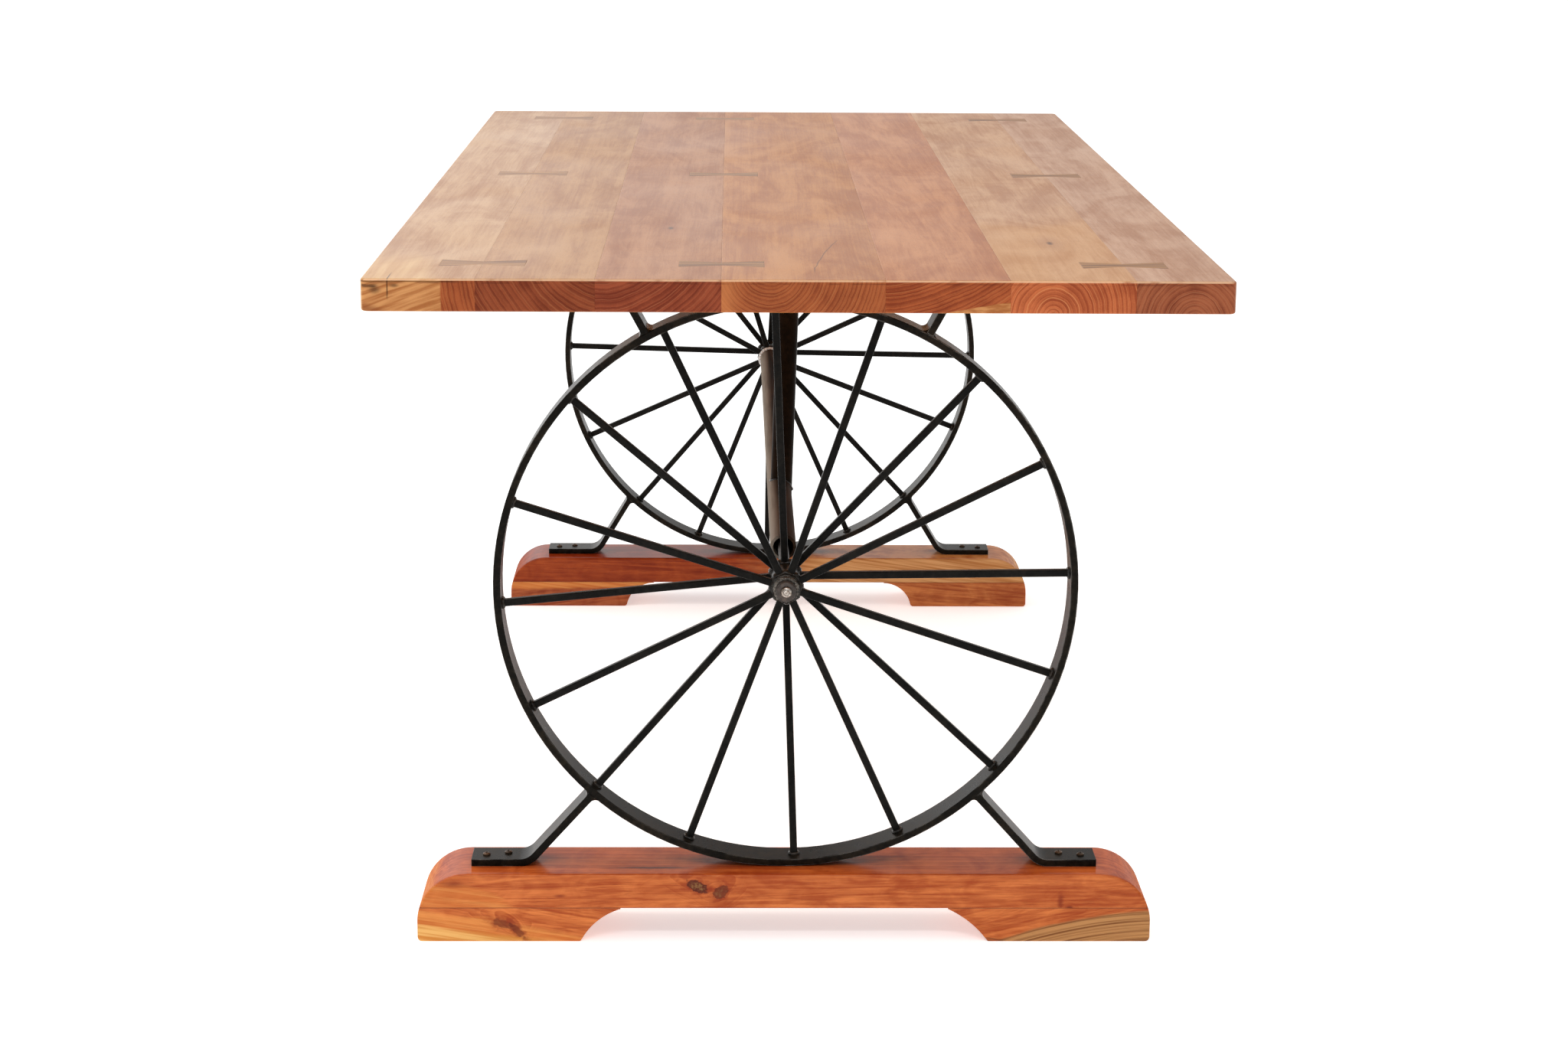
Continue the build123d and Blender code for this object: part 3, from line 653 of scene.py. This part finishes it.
def foot_wood(finish, grown, recipe):
    """Flowing red and orange streaks along the foot, with soft red smudges across them."""
    along, across, up = finish.grain
    base, seed = recipe["face"], recipe["seed"]
    climb = up - along * recipe["drift"][1]
    flow = finish.noise(along * 9 + seed, across * 24, climb * 120, detail=4, rough=0.62, distort=1.4)
    smudge = finish.noise(along * 24 - seed, across * 9, climb * 40, detail=4, distort=1.2)
    level = grown["bands"] * 1.5 + grown["year"] * 0.2 + grown["streaks"] * 0.6 + (flow - 0.5) * 1.3
    level = level + (smudge - 0.5) * 0.9 + finish.waver(7, 9, 14, seed, 2) * 0.5 + 0.47
    over = (grown["line"] * 0.14, (1.35, 1.7, 1.8)), (grown["pores"] * 0.3, (0.35, 0.22, 0.2))
    return toned(finish, base, level, (0.62, 0.42, 0.36), (1.26, 1.5, 1.6), over)


def near_beam_marks(finish):
    """Two dark red blushes and a dark streak on the front, and a split that runs along the top."""
    spots = (
        (-0.376, 0.067, 0.02, 0.006, 0.6), (-0.258, 0.053, 0.01, 0.003, 0.7),
        (0.298, 0.046, 0.005, 0.016, 0.7),
    )
    blush = sum(
        finish.near((x, FOOT_FRONT, z), (reach, 0.05, rise)) * part for x, z, reach, rise, part in spots)
    finish.lay(blush, tone(118, 36, 20))
    off = finish.y - SPLIT_Y + finish.waver(60, 0, 0) * (6 * MM)
    length = finish.near((-0.155, SPLIT_Y, 0.078), (0.06, 1, 1))
    shade = (off - 0.5 * MM).abs().step(10 * MM, 0) * length * 0.7
    finish.lay(shade, tone(104, 34, 18))
    finish.lay((off.abs() - length * (1.4 * MM)).step(0.4 * MM, -0.4 * MM) * 0.9, CHECK)


def sharp_corners(finish):
    """1 along sharp corners: where a rounded normal turns away from the flat face's own."""
    match = finish.new("ShaderNodeVectorMath", operation="DOT_PRODUCT")
    finish.feed(match.inputs[0], finish.corner(1.2 * MM))
    finish.feed(match.inputs[1], finish.new("ShaderNodeNewGeometry").outputs["True Normal"])
    return Field(finish, match.outputs["Value"]).step(0.995, 0.9)


def foot_finish(name, recipe):
    """One foot piece: climbing grain, knots, sapwood and the glue line, under lacquer."""
    finish = Finish(name + "_finish")
    grown = grow(finish, recipe, knot_swirl(finish, name))
    finish.colour = foot_wood(finish, grown, recipe)
    foot_sapwood(finish, name)
    paint_knots(finish, name)
    # Painted shade: the feet's upward faces are made darker and redder, as in the shade of the table top.
    top = finish.facing[2].step(0.5, 0.9)
    finish.lay(top, finish.mix(1, finish.colour, (0.88, 0.66, 0.5), "MULTIPLY"))
    if name == "near_foot_beam":
        near_beam_marks(finish)
    # Painted highlight: a pale line, broken in patches, along the feet's sharp corners.
    edge_line_noise = finish.noise(finish.x * 30, 3, 0, detail=3).step(0.3, 0.55)
    finish.lay(sharp_corners(finish) * edge_line_noise * 0.55, tone(238, 158, 112))
    glue = (finish.z - FOOT_GLUE).abs().step(0.8 * MM, 0.2 * MM)
    finish.lay(glue * 0.6, tone(92, 36, 20))
    finish.set(Base_Color=finish.colour)
    coat = (top * 0.25 + 0.25) * (1 - finish.facing[0].step(0.2, 0.8) * 0.5)
    lacquer(finish, coat, grown["bands"] * 0.25 + 0.34)
    finish.bump(grown["bands"] * 0.5 - grown["pores"] * 1.2 - glue * 2, 0.1 * MM, 0.6)
    return finish.material


for name, recipe in FEET.items():
    finish_piece(name, foot_finish(name, recipe))
print(len(FEET), "foot pieces finished")

# %% [markdown]
# ### The near pads' arch
#
# The model hollows every pad with the same quarter turn. The two near pads were sawn flatter, each
# by its own amount, so these two are drawn again: the model's outline with a shallower arc. An
# outline swept straight through the foot's depth is all that a sawn block needs, and the solid
# wood finish fits it as it stands, because it goes by place and not by mesh.

# %% From points and faces to a piece


def solid(name, points, faces):
    """A smooth closed piece whose faces point out.

    Six times the volume = sum of a . (b x c) over the triangles. Below zero, the faces are turned.
    """
    mesh = bpy.data.meshes.new(name)
    mesh.from_pydata(points.tolist(), [], faces)
    mesh.shade_smooth()
    mesh.calc_loop_triangles()
    triangles = np.zeros(len(mesh.loop_triangles) * 3, int)
    mesh.loop_triangles.foreach_get("vertices", triangles)
    a, b, c = (points - points.mean(0))[triangles.reshape(-1, 3).T]
    if np.einsum("ij,ij->i", a, np.cross(b, c)).sum() < 0:
        mesh.flip_normals()
    return add_object(name, mesh)


# %% Two pads with their own arch
ARCH_RUN = 43 * MM
ARCH_SAG = {"left": 5.6 * MM, "right": 3.6 * MM}
CROWN_LIP = 1.2 * MM
FOOT_TOP, PAD_TURN, PAD_CORNER = 78 * MM, 55 * MM, 5 * MM
TOE_ROUND, TOE_SHIFT, TOE_END = 2 * MM, 3 * MM, (0.6 * MM, 1.6 * MM)


def arc(centre, radius, start, end, count=14):
    """Points centre + radius * (cos, sin) from one angle in degrees to another."""
    turn = np.radians(np.linspace(start, end, count))
    return np.stack([centre[0] + radius * np.cos(turn), centre[1] + radius * np.sin(turn)], -1)


def sagging(first, last, sag, count=24):
    """Points from first to last along an arc that stands sag off the straight line, on its right.

    Radius = (half chord squared + sag squared) / twice sag, and height above the chord follows.
    """
    chord = last - first
    length = np.hypot(*chord)
    away = np.array([chord[1], -chord[0]]) / length
    radius = (length ** 2 / 4 + sag ** 2) / (2 * sag)
    part = np.linspace(0, 1, count)
    lift = np.sqrt(radius ** 2 - ((part - 0.5) * length) ** 2) - (radius - sag)
    return first + part[:, None] * chord + lift[:, None] * away


def sawn_pad(side_name, across):
    """One near pad: its outline, mirrored for the left, carried through the depth."""
    name = "near_foot_pad_" + side_name
    low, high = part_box(name)
    outer, crown = (high.x, low.x) if across > 0 else (-low.x, -high.x)
    rise = high.z - (FOOT_TOP - PAD_TURN)
    toe = np.array([crown + ARCH_RUN, 0.0])
    tip = np.array([crown, high.z - CROWN_LIP])
    outline = np.concatenate([
        [(crown, high.z)],
        arc((outer - PAD_TURN, high.z - rise), PAD_TURN, math.degrees(math.asin(rise / PAD_TURN)), 0),
        arc((outer - PAD_CORNER, PAD_CORNER), PAD_CORNER, 0, -90, 7),
        arc((toe[0] + TOE_SHIFT, TOE_ROUND), TOE_ROUND, -90, -150, 5),
        sagging(toe + TOE_END, tip, ARCH_SAG[side_name])[1:],
    ])
    count = len(outline)
    ends = [np.insert(outline * (across, 1), 1, y, axis=1) for y in (low.y, high.y)]
    here = np.arange(count)
    ahead = np.roll(here, -1)
    walls = np.stack([here, ahead, ahead + count, here + count], -1).tolist()
    caps = [here[::-1].tolist(), (here + count).tolist()]
    piece = solid(name + "_sawn", np.concatenate(ends), walls + caps)
    piece.data.set_sharp_from_angle(angle=math.radians(20))
    piece.data.materials.append(nodes[name].data.materials[0])
    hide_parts(name)
    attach(piece, "root")
    return piece


pads = [sawn_pad(side_name, across) for side_name, across in (("left", -1), ("right", 1))]
print("pads sawn:", [pad.name for pad in pads])

# %% [markdown]
# ## Painted steel
#
# The bars came from the rolling mill with a skin of scale, were welded, and then brushed with one
# thin coat of black paint. So the black isn't even: brown shows through where the coat is thin,
# the gloss changes in patches, and the surface has a faint pebble. One finish makes the bars, the
# post, the hubs' collars, the screws and later the welds, each with tones of its own.

# %% The steel finish


def steel_finish(name, coat, thin, rough, shine, metal=0, relief=0.4, patch=0.5, wear_and_highlight=0):
    """Black paint with thin brown patches. Noise at three sizes sets the tone, gloss and relief.

    The last argument sets how strongly the corners turn pale grey, in patches: partly paint rubbed
    through to grey steel, partly a painted highlight.
    """
    finish = Finish(name)
    worn = finish.vary(22, 22, 22, detail=4, rough=0.6)
    brush = finish.vary(160, 90, 160, detail=3, rough=0.6)
    pebble = finish.vary(700, 700, 700)
    paint = finish.mix((worn * (1 - patch) + brush * patch).step(0.4, 0.68), coat, thin)
    # Pale grey corners: partly rubbed paint, partly a painted highlight along the edges of the bars.
    if wear_and_highlight:
        paint = finish.mix(sharp_corners(finish) * worn.step(0.4, 0.6) * wear_and_highlight, paint, (0.34, 0.33, 0.31))
    sheen = (worn * 0.6 + brush * 0.4 - 0.5) * ((rough[1] - rough[0]) * 1.6) + sum(rough) / 2
    finish.set(Base_Color=paint, Roughness=sheen, Metallic=metal, IOR=1.5, Specular_IOR_Level=shine)
    finish.bump(brush * 0.6 + pebble * 0.4, 0.12 * MM * relief, 0.7)
    return finish.material


bar_black = steel_finish(
    "bar_black", (0.0052, 0.0045, 0.0034), (0.019, 0.014, 0.009), (0.22, 0.36), 0.05, wear_and_highlight=0.8)
spoke_black = steel_finish(
    "spoke_black", (0.0052, 0.005, 0.0046), (0.013, 0.0115, 0.0095), (0.22, 0.36), 0.05, wear_and_highlight=0.2)
post_brown = steel_finish(
    "post_brown", (0.006, 0.003, 0.0012), (0.014, 0.0065, 0.0028), (0.3, 0.45), 0.015)
nose_brown = steel_finish(
    "nose_brown", (0.022, 0.016, 0.013), (0.085, 0.06, 0.048), (0.2, 0.4), 0.5, metal=0.4)
screw_rust = steel_finish(
    "screw_rust", (0.04, 0.024, 0.014), (0.15, 0.08, 0.042), (0.28, 0.48), 0.5, metal=0.5)
print("painted:", bar_black.name, spoke_black.name, post_brown.name, nose_brown.name, screw_rust.name)

# %% [markdown]
# ### The pipe and the rod
#
# The pipe is smoother than the bars, and down its left side its brown is painted a paler olive grey,
# a painted reflection of the bright room on that side. The rod is one long bar. Between the wheels
# it was painted with everything else, and only its domed ends, where nothing covered them, were
# rubbed bright. So the finish changes along the rod, and on the end face a dark ring and brown
# stains stay in the turning marks.

# %% Finish the pipe and the rod


def pipe_finish():
    """Smooth brown paint, and down the pipe's left side a paler olive grey: a painted reflection."""
    finish = Finish("pipe_brown")
    low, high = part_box("stretcher_pipe")
    cloud = finish.vary(60, 4, 60, detail=3, rough=0.6)
    # Painted reflection: the left side's paler olive grey stands for the bright room mirrored there.
    side = (finish.x - (low.x + high.x) / 2 + (cloud - 0.5) * (4 * MM)).step(-1 * MM, -12 * MM)
    patch = cloud.step(0.35, 0.65)
    brown = finish.mix(patch, (0.014, 0.008, 0.005), (0.05, 0.029, 0.018))
    olive = finish.mix(patch, (0.15, 0.128, 0.102), (0.27, 0.235, 0.195))
    finish.set(Base_Color=finish.mix(side, brown, olive))
    finish.set(Roughness=cloud * 0.2 + 0.5, IOR=1.2, Specular_IOR_Level=0.03)
    finish.bump(cloud, 0.15 * MM, 0.5)
    return finish.material


def rod_finish():
    """Dark paint along the rod, worn bright metal past the ends of the hub noses."""
    finish = Finish("rod_ends")
    low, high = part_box("tie_rod")
    middle = (low + high) / 2
    bare = finish.y.abs().step(high.y - 4.5 * MM, high.y - 3.0 * MM)
    reach = ((finish.x - middle.x) ** 2 + (finish.z - middle.z) ** 2) ** 0.5
    stain = finish.vary(420, 60, 420, detail=3)
    turned = finish.noise(reach * 5200, 0, 0, detail=1)
    marks = (stain * 0.7 + turned * 0.4).step(0.4, 0.7)
    metal = finish.mix(marks, (0.16, 0.115, 0.085), (0.62, 0.57, 0.52))
    ring = (reach - 3.1 * MM).abs().step(0.7 * MM, 0.2 * MM) * 0.75
    metal = finish.mix(ring, metal, (0.035, 0.022, 0.016))
    finish.set(Base_Color=finish.mix(bare, (0.012, 0.009, 0.007), metal), Metallic=bare * 0.9)
    finish.set(Roughness=stain * 0.25 - bare * 0.3 + 0.44, IOR=1.5, Specular_IOR_Level=0.3)
    finish.bump(stain * 0.5 + turned * 0.3, 0.12 * MM, 0.8)
    return finish.material


STEEL = {
    "rim": bar_black, "strap": bar_black, "spokes": spoke_black, "hub": bar_black,
    "hub_nose": nose_brown, "tie_rod": rod_finish(), "stretcher_pipe": pipe_finish(),
    "centre_post": post_brown, "post_plate": post_brown, "screws": screw_rust,
}
for name in nodes:
    for ending, material in STEEL.items():
        if name.endswith(ending):
            finish_piece(name, material)
print("steel finishes:", sorted({m.name for m in STEEL.values()}))

# %% [markdown]
# ## Weld beads
#
# A welder lays metal along a joint in small overlapping pools, so a bead is a rounded ridge with
# a ripple every millimetre or two. A curve with a round bevel couldn't ripple. Here a bead is a
# tube: a ring of points carried along a path, all in one array, with a radius that swells and
# shrinks.

# %% Turn grids of points into pieces


def grid_mesh(name, grids, wrap_along):
    """One piece from several grids of points, each stations x ring x 3.

    The ring direction always closes. The stations close too where wrap_along is set, and
    otherwise a flat face shuts each end.
    """
    points, faces, start = [], [], 0
    for grid in grids:
        stations, ring = grid.shape[:2]
        index = np.arange(stations * ring).reshape(stations, ring) + start
        here, ahead = (index, np.roll(index, -1, axis=0)) if wrap_along else (index[:-1], index[1:])
        quads = np.stack([here, np.roll(here, -1, axis=1), np.roll(ahead, -1, axis=1), ahead], -1)
        faces += quads.reshape(-1, 4).tolist()
        if not wrap_along:
            faces += [index[0, ::-1].tolist(), index[-1].tolist()]
        points.append(grid.reshape(-1, 3))
        start += stations * ring
    return solid(name, np.concatenate(points), faces)


def circle(count, start=0):
    """Evenly spaced angles round one whole turn."""
    return start + np.linspace(0, 2 * np.pi, count, endpoint=False)


def hand(count, seed):
    """Values that wander between -1 and 1 round a closed path: three sine waves of whole turns."""
    turn = circle(count)
    waves = ((0.5, 2, 1), (0.3, 5, 2.3), (0.2, 9, 4.1))
    return sum(size * np.sin(whole * turn + shift * seed) for size, whole, shift in waves)


# %% A bead that closes on itself round a bar


def ring_bead(centre, side, lean, out, half, radius, seed, square=0.55, ripples=9, count=40, ring=8):
    """A bead round a bar: a tube on a rounded rectangle in the plane of side and lean.

    Path = centre + half * (cos to a power, sin to a power). Tube = radius * (cos along the path's
    outward way + sin along out), with ripples and a wandering size.
    """
    turn, around = circle(count)[:, None], circle(ring)[None, :]
    c, s = np.cos(turn), np.sin(turn)
    size = radius * (1 + 0.16 * hand(count, seed)[:, None] + 0.1 * np.cos(ripples * turn))
    width = np.hypot(c / half[0], s / half[1])
    u = np.sign(c) * np.abs(c) ** square * half[0] + size * np.cos(around) * c / half[0] / width
    v = np.sign(s) * np.abs(s) ** square * half[1] + size * np.cos(around) * s / half[1] / width
    w = size * np.sin(around)
    return centre + u[..., None] * side + v[..., None] * lean + w[..., None] * out


# %% [markdown]
# ### Where the welds go on a wheel
#
# A bead runs round the foot of each spoke, inside the rim. At the hub the spokes crowd together,
# and the weld fills the gaps between them with lumps, one belt of them for the spokes that sit
# near the hub's outer end and one for those near its inner end. A neat ring of weld holds the
# collar on the hub's outer face. The spokes were set by hand, so each one's angle is read from the
# model, from the points of its mesh that lie near the rim.

# %% Read each wheel from the model
OUTWARD = {"near": -1.0, "far": 1.0}
SPOKE_SHIFT = {"outer": 12 * MM, "inner": -37 * MM}
RIM_WALL = 8 * MM
EAST, AXIS, NORTH = np.eye(3)


def read_wheel(end):
    """Centre and outer radius of a wheel, the radius of its hub, and Y of the hub's outer face."""
    low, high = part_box(end + "_rim")
    hub_low, hub_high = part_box(end + "_hub")
    face = hub_high.y if OUTWARD[end] > 0 else hub_low.y
    return np.array((low + high) / 2), (high.x - low.x) / 2, (hub_high.x - hub_low.x) / 2, face


def spoke_turns(end, layer):
    """The angle of each spoke in a layer: the mean angle of each cluster of points by the rim."""
    mesh = nodes[f"{end}_{layer}_spokes"].data
    points = np.zeros(len(mesh.vertices) * 3)
    mesh.vertices.foreach_get("co", points)
    flat = points.reshape(-1, 3) - read_wheel(end)[0]
    reach = np.hypot(flat[:, 0], flat[:, 2])
    turn = np.sort(np.arctan2(flat[:, 2], flat[:, 0])[reach > 0.97 * reach.max()])
    gaps = np.diff(turn, append=turn[0] + 2 * np.pi)
    turn = np.unwrap(np.roll(turn, -1 - np.argmax(gaps)))
    clusters = np.split(turn, np.nonzero(np.diff(turn) > 0.2)[0] + 1)
    return np.array([cluster.mean() for cluster in clusters])


TURNS = {(end, layer): spoke_turns(end, layer) for end in OUTWARD for layer in SPOKE_SHIFT}
for (end, layer), turns in TURNS.items():
    print(end, layer, len(turns), "spokes at", np.degrees(turns).round(1))

# %% Spoke and hub welds


def rim_welds(end):
    """A bead round the outer end of every spoke, on the inside of the rim."""
    centre, radius, _, _ = read_wheel(end)
    foot = radius - RIM_WALL - 0.6 * MM
    turns = np.concatenate([TURNS[end, layer] for layer in SPOKE_SHIFT])
    outs = np.stack([np.cos(turns), 0 * turns, np.sin(turns)], -1)
    half = (4.3 * MM, 4.6 * MM)
    grids = [
        ring_bead(centre + out * foot, np.cross(out, AXIS), AXIS, out, half, 2.2 * MM, i * 1.7)
        for i, out in enumerate(outs)
    ]
    return grid_mesh(end + "_rim_welds", grids, True)


def hub_lumps(end, layer):
    """A lumpy belt round the hub, thick between the spokes of its layer and thin behind them.

    Height = thin + thick * (half - half cosine of the place between the two nearest spokes).
    """
    centre, _, hub_radius, _ = read_wheel(end)
    shift = SPOKE_SHIFT[layer] * OUTWARD[end]
    turns = TURNS[end, layer]
    count = 160
    turn, around = circle(count, turns[0]), circle(12)
    place = np.interp(turn, np.append(turns, turns[0] + 2 * np.pi), np.arange(len(turns) + 1))
    fill = 0.5 - 0.5 * np.cos(2 * np.pi * place)
    seed = 3.0 + len(layer) + 2 * OUTWARD[end] + shift * 100
    rise = 2.6 * MM * (0.75 + 0.9 * fill + 0.25 * hand(count, seed)) + 0.3 * MM * np.sin(61 * turn)
    half_width = 5.4 * MM * (1 + 0.14 * hand(count, 5.0 + seed))
    reach = hub_radius - 0.4 * MM + rise[:, None] * np.cos(around)
    along = shift + half_width[:, None] * np.sin(around)
    grid = np.stack([reach * np.cos(turn)[:, None], along, reach * np.sin(turn)[:, None]], -1) + centre
    return grid_mesh(f"{end}_{layer}_hub_weld", [grid], True)


def round_weld(name, centre, radius, size, seed, ripples, **tube):
    """A ring of weld round the table's long way, at a centre and of a radius."""
    grid = ring_bead(np.array(centre), EAST, NORTH, AXIS, (radius, radius), size, seed, 1, ripples,
                     6 * ripples, **tube)
    return grid_mesh(name, [grid], True)


def collar_weld(end):
    """The ring of weld where the collar meets the hub's outer face."""
    centre, _, _, face = read_wheel(end)
    low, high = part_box(end + "_hub_nose")
    radius = (high.x - low.x) / 2 + 1.0 * MM
    centre[1] = face
    return round_weld(end + "_collar_weld", centre, radius, 2.7 * MM, 5.5, 19, ring=10)


wheel_welds = []
for end in OUTWARD:
    wheel_welds += [rim_welds(end), hub_lumps(end, "outer"), hub_lumps(end, "inner"), collar_weld(end)]
print(len(wheel_welds), "wheel welds")

# %% [markdown]
# ### Fillets at the straps
#
# Each strap's leg stands on the rim, with a fillet of weld in both corners. A fillet is hollow: its
# face curves in between the two bars. The shape is one profile, a corner with a hollow arc, carried
# across the rim's width with a ripple. The corner lies where the leg's edge line meets the rim's
# circle, which is found from the leg's place on the rim and its own lean.

# %% Strap fillets
STRAP_TURNS = {  # degrees from upright: the leg's place on the rim, and its lean
    ("near", "lower"): (42.0, 42.0), ("far", "lower"): (43.5, 31.0),
    ("near", "upper"): (28.5, 28.5), ("far", "upper"): (28.5, 28.5),
}
STRAP_HALF = 4 * MM
FILLET_LEG, FILLET_WIDTH = 6.5 * MM, 38.5 * MM


def leg_corner(radius, place, lean, toward, across, way):
    """Corner, way round the rim and way along the leg, in the wheel's plane, from its centre.

    The leg's edge is a line. Corner = start + t * leg, with t from the circle's equation.
    """
    leg = np.array([across * math.sin(lean), 0, toward * math.cos(lean)])
    edge = np.array([leg[2], 0, -leg[0]]) * way * across * toward
    start = np.array([across * math.sin(place), 0, toward * math.cos(place)]) * radius + edge * STRAP_HALF
    half = start @ leg
    corner = start + (math.sqrt(half ** 2 - start @ start + radius ** 2) - half) * leg
    round_rim = np.array([corner[2], 0, -corner[0]]) / radius
    return corner, round_rim * np.sign(round_rim @ edge), leg


def fillet_grid(corner, side, out, seed):
    """A hollow fillet: its arc runs from a point along side to one as far along out."""
    beta = np.radians(np.linspace(270, 180, 7))
    u = np.concatenate([[-0.7], 1 + np.cos(beta)])
    v = np.concatenate([[-0.35], 1 + np.sin(beta) - 0.06])
    along = np.linspace(-0.5, 0.5, 36) * FILLET_WIDTH
    ripple = 0.1 * np.sin(along / (1.1 * MM) + seed) + 0.12 * np.sin(along / (7 * MM) + 2 * seed)
    size = FILLET_LEG * (1 + ripple)
    spot = corner + along[:, None, None] * AXIS
    return spot + (size[:, None] * u)[..., None] * side + (size[:, None] * v)[..., None] * out


def strap_welds(end):
    """Two fillets for each of a wheel's four straps."""
    centre, radius, _, _ = read_wheel(end)
    grids = []
    for level, toward in (("lower", -1), ("upper", 1)):
        place, lean = np.radians(STRAP_TURNS[end, level])
        for across in (-1, 1):
            for way in (-1, 1):
                corner, side, out = leg_corner(radius, place, lean, toward, across, way)
                grids.append(fillet_grid(centre + corner, side, out, toward + 2 * across + 4 * way))
    return grid_mesh(end + "_strap_welds", grids, False)


strap_pieces = [strap_welds(end) for end in OUTWARD]
print(len(strap_pieces), "sets of strap fillets")

# %% [markdown]
# ### The pipe's and the post's welds
#
# The stretcher pipe butts on the far hub with one bead round it. The post stands astride the pipe,
# and its small bead, ground nearly flush, follows the saddle where the two round bars meet.

# %% Pipe and post welds


def pipe_weld():
    """The bead where the stretcher pipe butts on the far hub."""
    low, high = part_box("stretcher_pipe")
    centre = ((low.x + high.x) / 2, high.y, (low.z + high.z) / 2)
    return round_weld("pipe_weld", centre, (high.x - low.x) / 2 + 0.6 * MM, 2.8 * MM, 1.9, 23)


def post_weld():
    """The bead that follows the post's saddle over the pipe.

    Height = pipe centre + root of (pipe radius squared - distance from its middle squared).
    """
    low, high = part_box("centre_post")
    pipe_low, pipe_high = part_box("stretcher_pipe")
    pipe = (pipe_low + pipe_high) / 2
    post_radius, pipe_radius = (high.y - low.y) / 2, (pipe_high.x - pipe_low.x) / 2
    foot_x, foot_y = low.x + post_radius, (low.y + high.y) / 2
    count = 96
    turn, around = circle(count), circle(8)
    x = foot_x + post_radius * np.cos(turn)
    z = pipe.z + np.sqrt(np.maximum(pipe_radius ** 2 - (x - pipe.x) ** 2, 0))
    size = 1.5 * MM * (1 + 0.15 * hand(count, 2.2) + 0.08 * np.cos(24 * turn))
    reach = post_radius + size[:, None] * np.cos(around)
    grid = np.stack([foot_x + reach * np.cos(turn)[:, None], foot_y + reach * np.sin(turn)[:, None],
                     z[:, None] + size[:, None] * np.sin(around)], -1)
    return grid_mesh("post_weld", [grid], True)


pipe_pieces = [pipe_weld(), post_weld()]
print("pipe welds:", [p.name for p in pipe_pieces])

# %% [markdown]
# ### The welds' own finish
#
# The paint sits on the welds too, but it pulls thin on their crests, where bare metal glints. The
# far hub's bead was hardly painted, and its near white is partly bare metal, partly a painted glint.

# %% Finish the welds
weld_dark = steel_finish(
    "weld_dark", (0.006, 0.0052, 0.0044), (0.032, 0.024, 0.017), (0.18, 0.38), 0.25, 0, 1.6, 0.8)
weld_collar = steel_finish(
    "weld_collar", (0.014, 0.012, 0.01), (0.15, 0.13, 0.11), (0.12, 0.34), 0.5, 0.5, 3, 0.9)
# The far hub's bead: near white, partly bare weld metal and partly a painted glint.
weld_bare_and_glint = steel_finish(
    "weld_bare_and_glint", (0.58, 0.57, 0.55), (0.94, 0.94, 0.93), (0.15, 0.4), 0.5, 0.15, 3, 0.8)

WELD_FINISH = {"collar_weld": (weld_collar, "nose_steel"), "pipe_weld": (weld_bare_and_glint, "rod_steel")}
for piece in wheel_welds + strap_pieces + pipe_pieces:
    found = [v for ending, v in WELD_FINISH.items() if piece.name.endswith(ending)]
    material, slot = found[0] if found else (weld_dark, "black_steel")
    piece.data.materials.append(material)
    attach(piece, "root")
print("welds ride on the table:", len(wheel_welds + strap_pieces + pipe_pieces))

# %% [markdown]
# ## Floor and light
#
# Product pictures of furniture are taken in a white room. The floor is a wide pale sheet that
# glows a little of its own, like a light table, so that shadows on it stay faint. The surroundings
# are bright overhead and dim low down in front, which keeps the end grain and the black bars deep
# in tone. Low down behind the table they are bright on the left and dim on the right, because that
# is what a polished top mirrors back at a low camera. A large soft panel on the left models the
# spokes, and a long thin one in front draws fine highlights along the edges of the bars.

# %% Floor
FLOOR_REACH = 60.0
FLOOR_GLOW = 0.48


def make_floor():
    """A pale matt sheet with a trace of mottle."""
    corners = np.array([(-1, -1, 0), (1, -1, 0), (1, 1, 0), (-1, 1, 0)]) * FLOOR_REACH
    mesh = bpy.data.meshes.new("studio_floor")
    mesh.from_pydata(corners.tolist(), [], [(0, 1, 2, 3)])
    finish = Finish("floor_paper")
    mottle = finish.vary(3, 3, 0)
    finish.set(Base_Color=finish.mix(mottle, (0.88, 0.88, 0.88), (0.91, 0.91, 0.905)))
    finish.set(Roughness=0.9, Specular_IOR_Level=0.1)
    finish.set(Emission_Color=(1, 1, 1, 1), Emission_Strength=FLOOR_GLOW)
    mesh.materials.append(finish.material)
    return add_object("studio_floor", mesh)


make_floor()
print("floor laid")

# %% Surrounding light
SKY_TOP, SKY_FRONT = 1.0, 0.28
SKY_BACK_LEFT, SKY_BACK_RIGHT = 1.55, 0.74


def make_surroundings():
    """Light by direction: bright above, and low down dim in front and uneven behind."""
    world = bpy.data.worlds.new("studio")
    bpy.context.scene.world = world
    world.use_nodes = True
    bench = Bench(world.node_tree)
    x, y, z = bench.split(bench.new("ShaderNodeTexCoord").outputs["Generated"])
    back = x.step(0.17, -0.17) * (SKY_BACK_LEFT - SKY_BACK_RIGHT) + SKY_BACK_RIGHT
    low = y.step(-0.2, 0.3) * (back - SKY_FRONT) + SKY_FRONT
    background = bench.tree.nodes["Background"]
    bench.feed(background.inputs["Strength"], z.step(0.28, 0.6) * (SKY_TOP - low) + low)
    background.inputs["Color"].default_value = (1, 0.995, 0.985, 1)


make_surroundings()
print("surroundings from", SKY_FRONT, "to", SKY_TOP)

# %% Light panels
PANELS = [
    # name, place, width, height, watts
    ("left_panel", (-2.8, -0.4, 2.6), 0.9, 2.4, 34.0),
    ("front_panel", (-0.5, -3.8, 3.6), 3.0, 0.08, 40.0),
]


def light_panel(name, place, width, height, watts):
    """A soft rectangular light that faces the middle of the table."""
    data = bpy.data.lights.new(name, "AREA")
    data.shape = "RECTANGLE"
    data.size, data.size_y = width, height
    data.energy = watts
    lamp = add_object(name, data)
    lamp.location = place
    lamp.rotation_euler = (Vector((0, 0, 0.5)) - Vector(place)).to_track_quat("-Z", "Y").to_euler()


for panel in PANELS:
    light_panel(*panel)
bpy.context.scene.view_settings.view_transform = "Standard"
print(len(PANELS), "light panels")
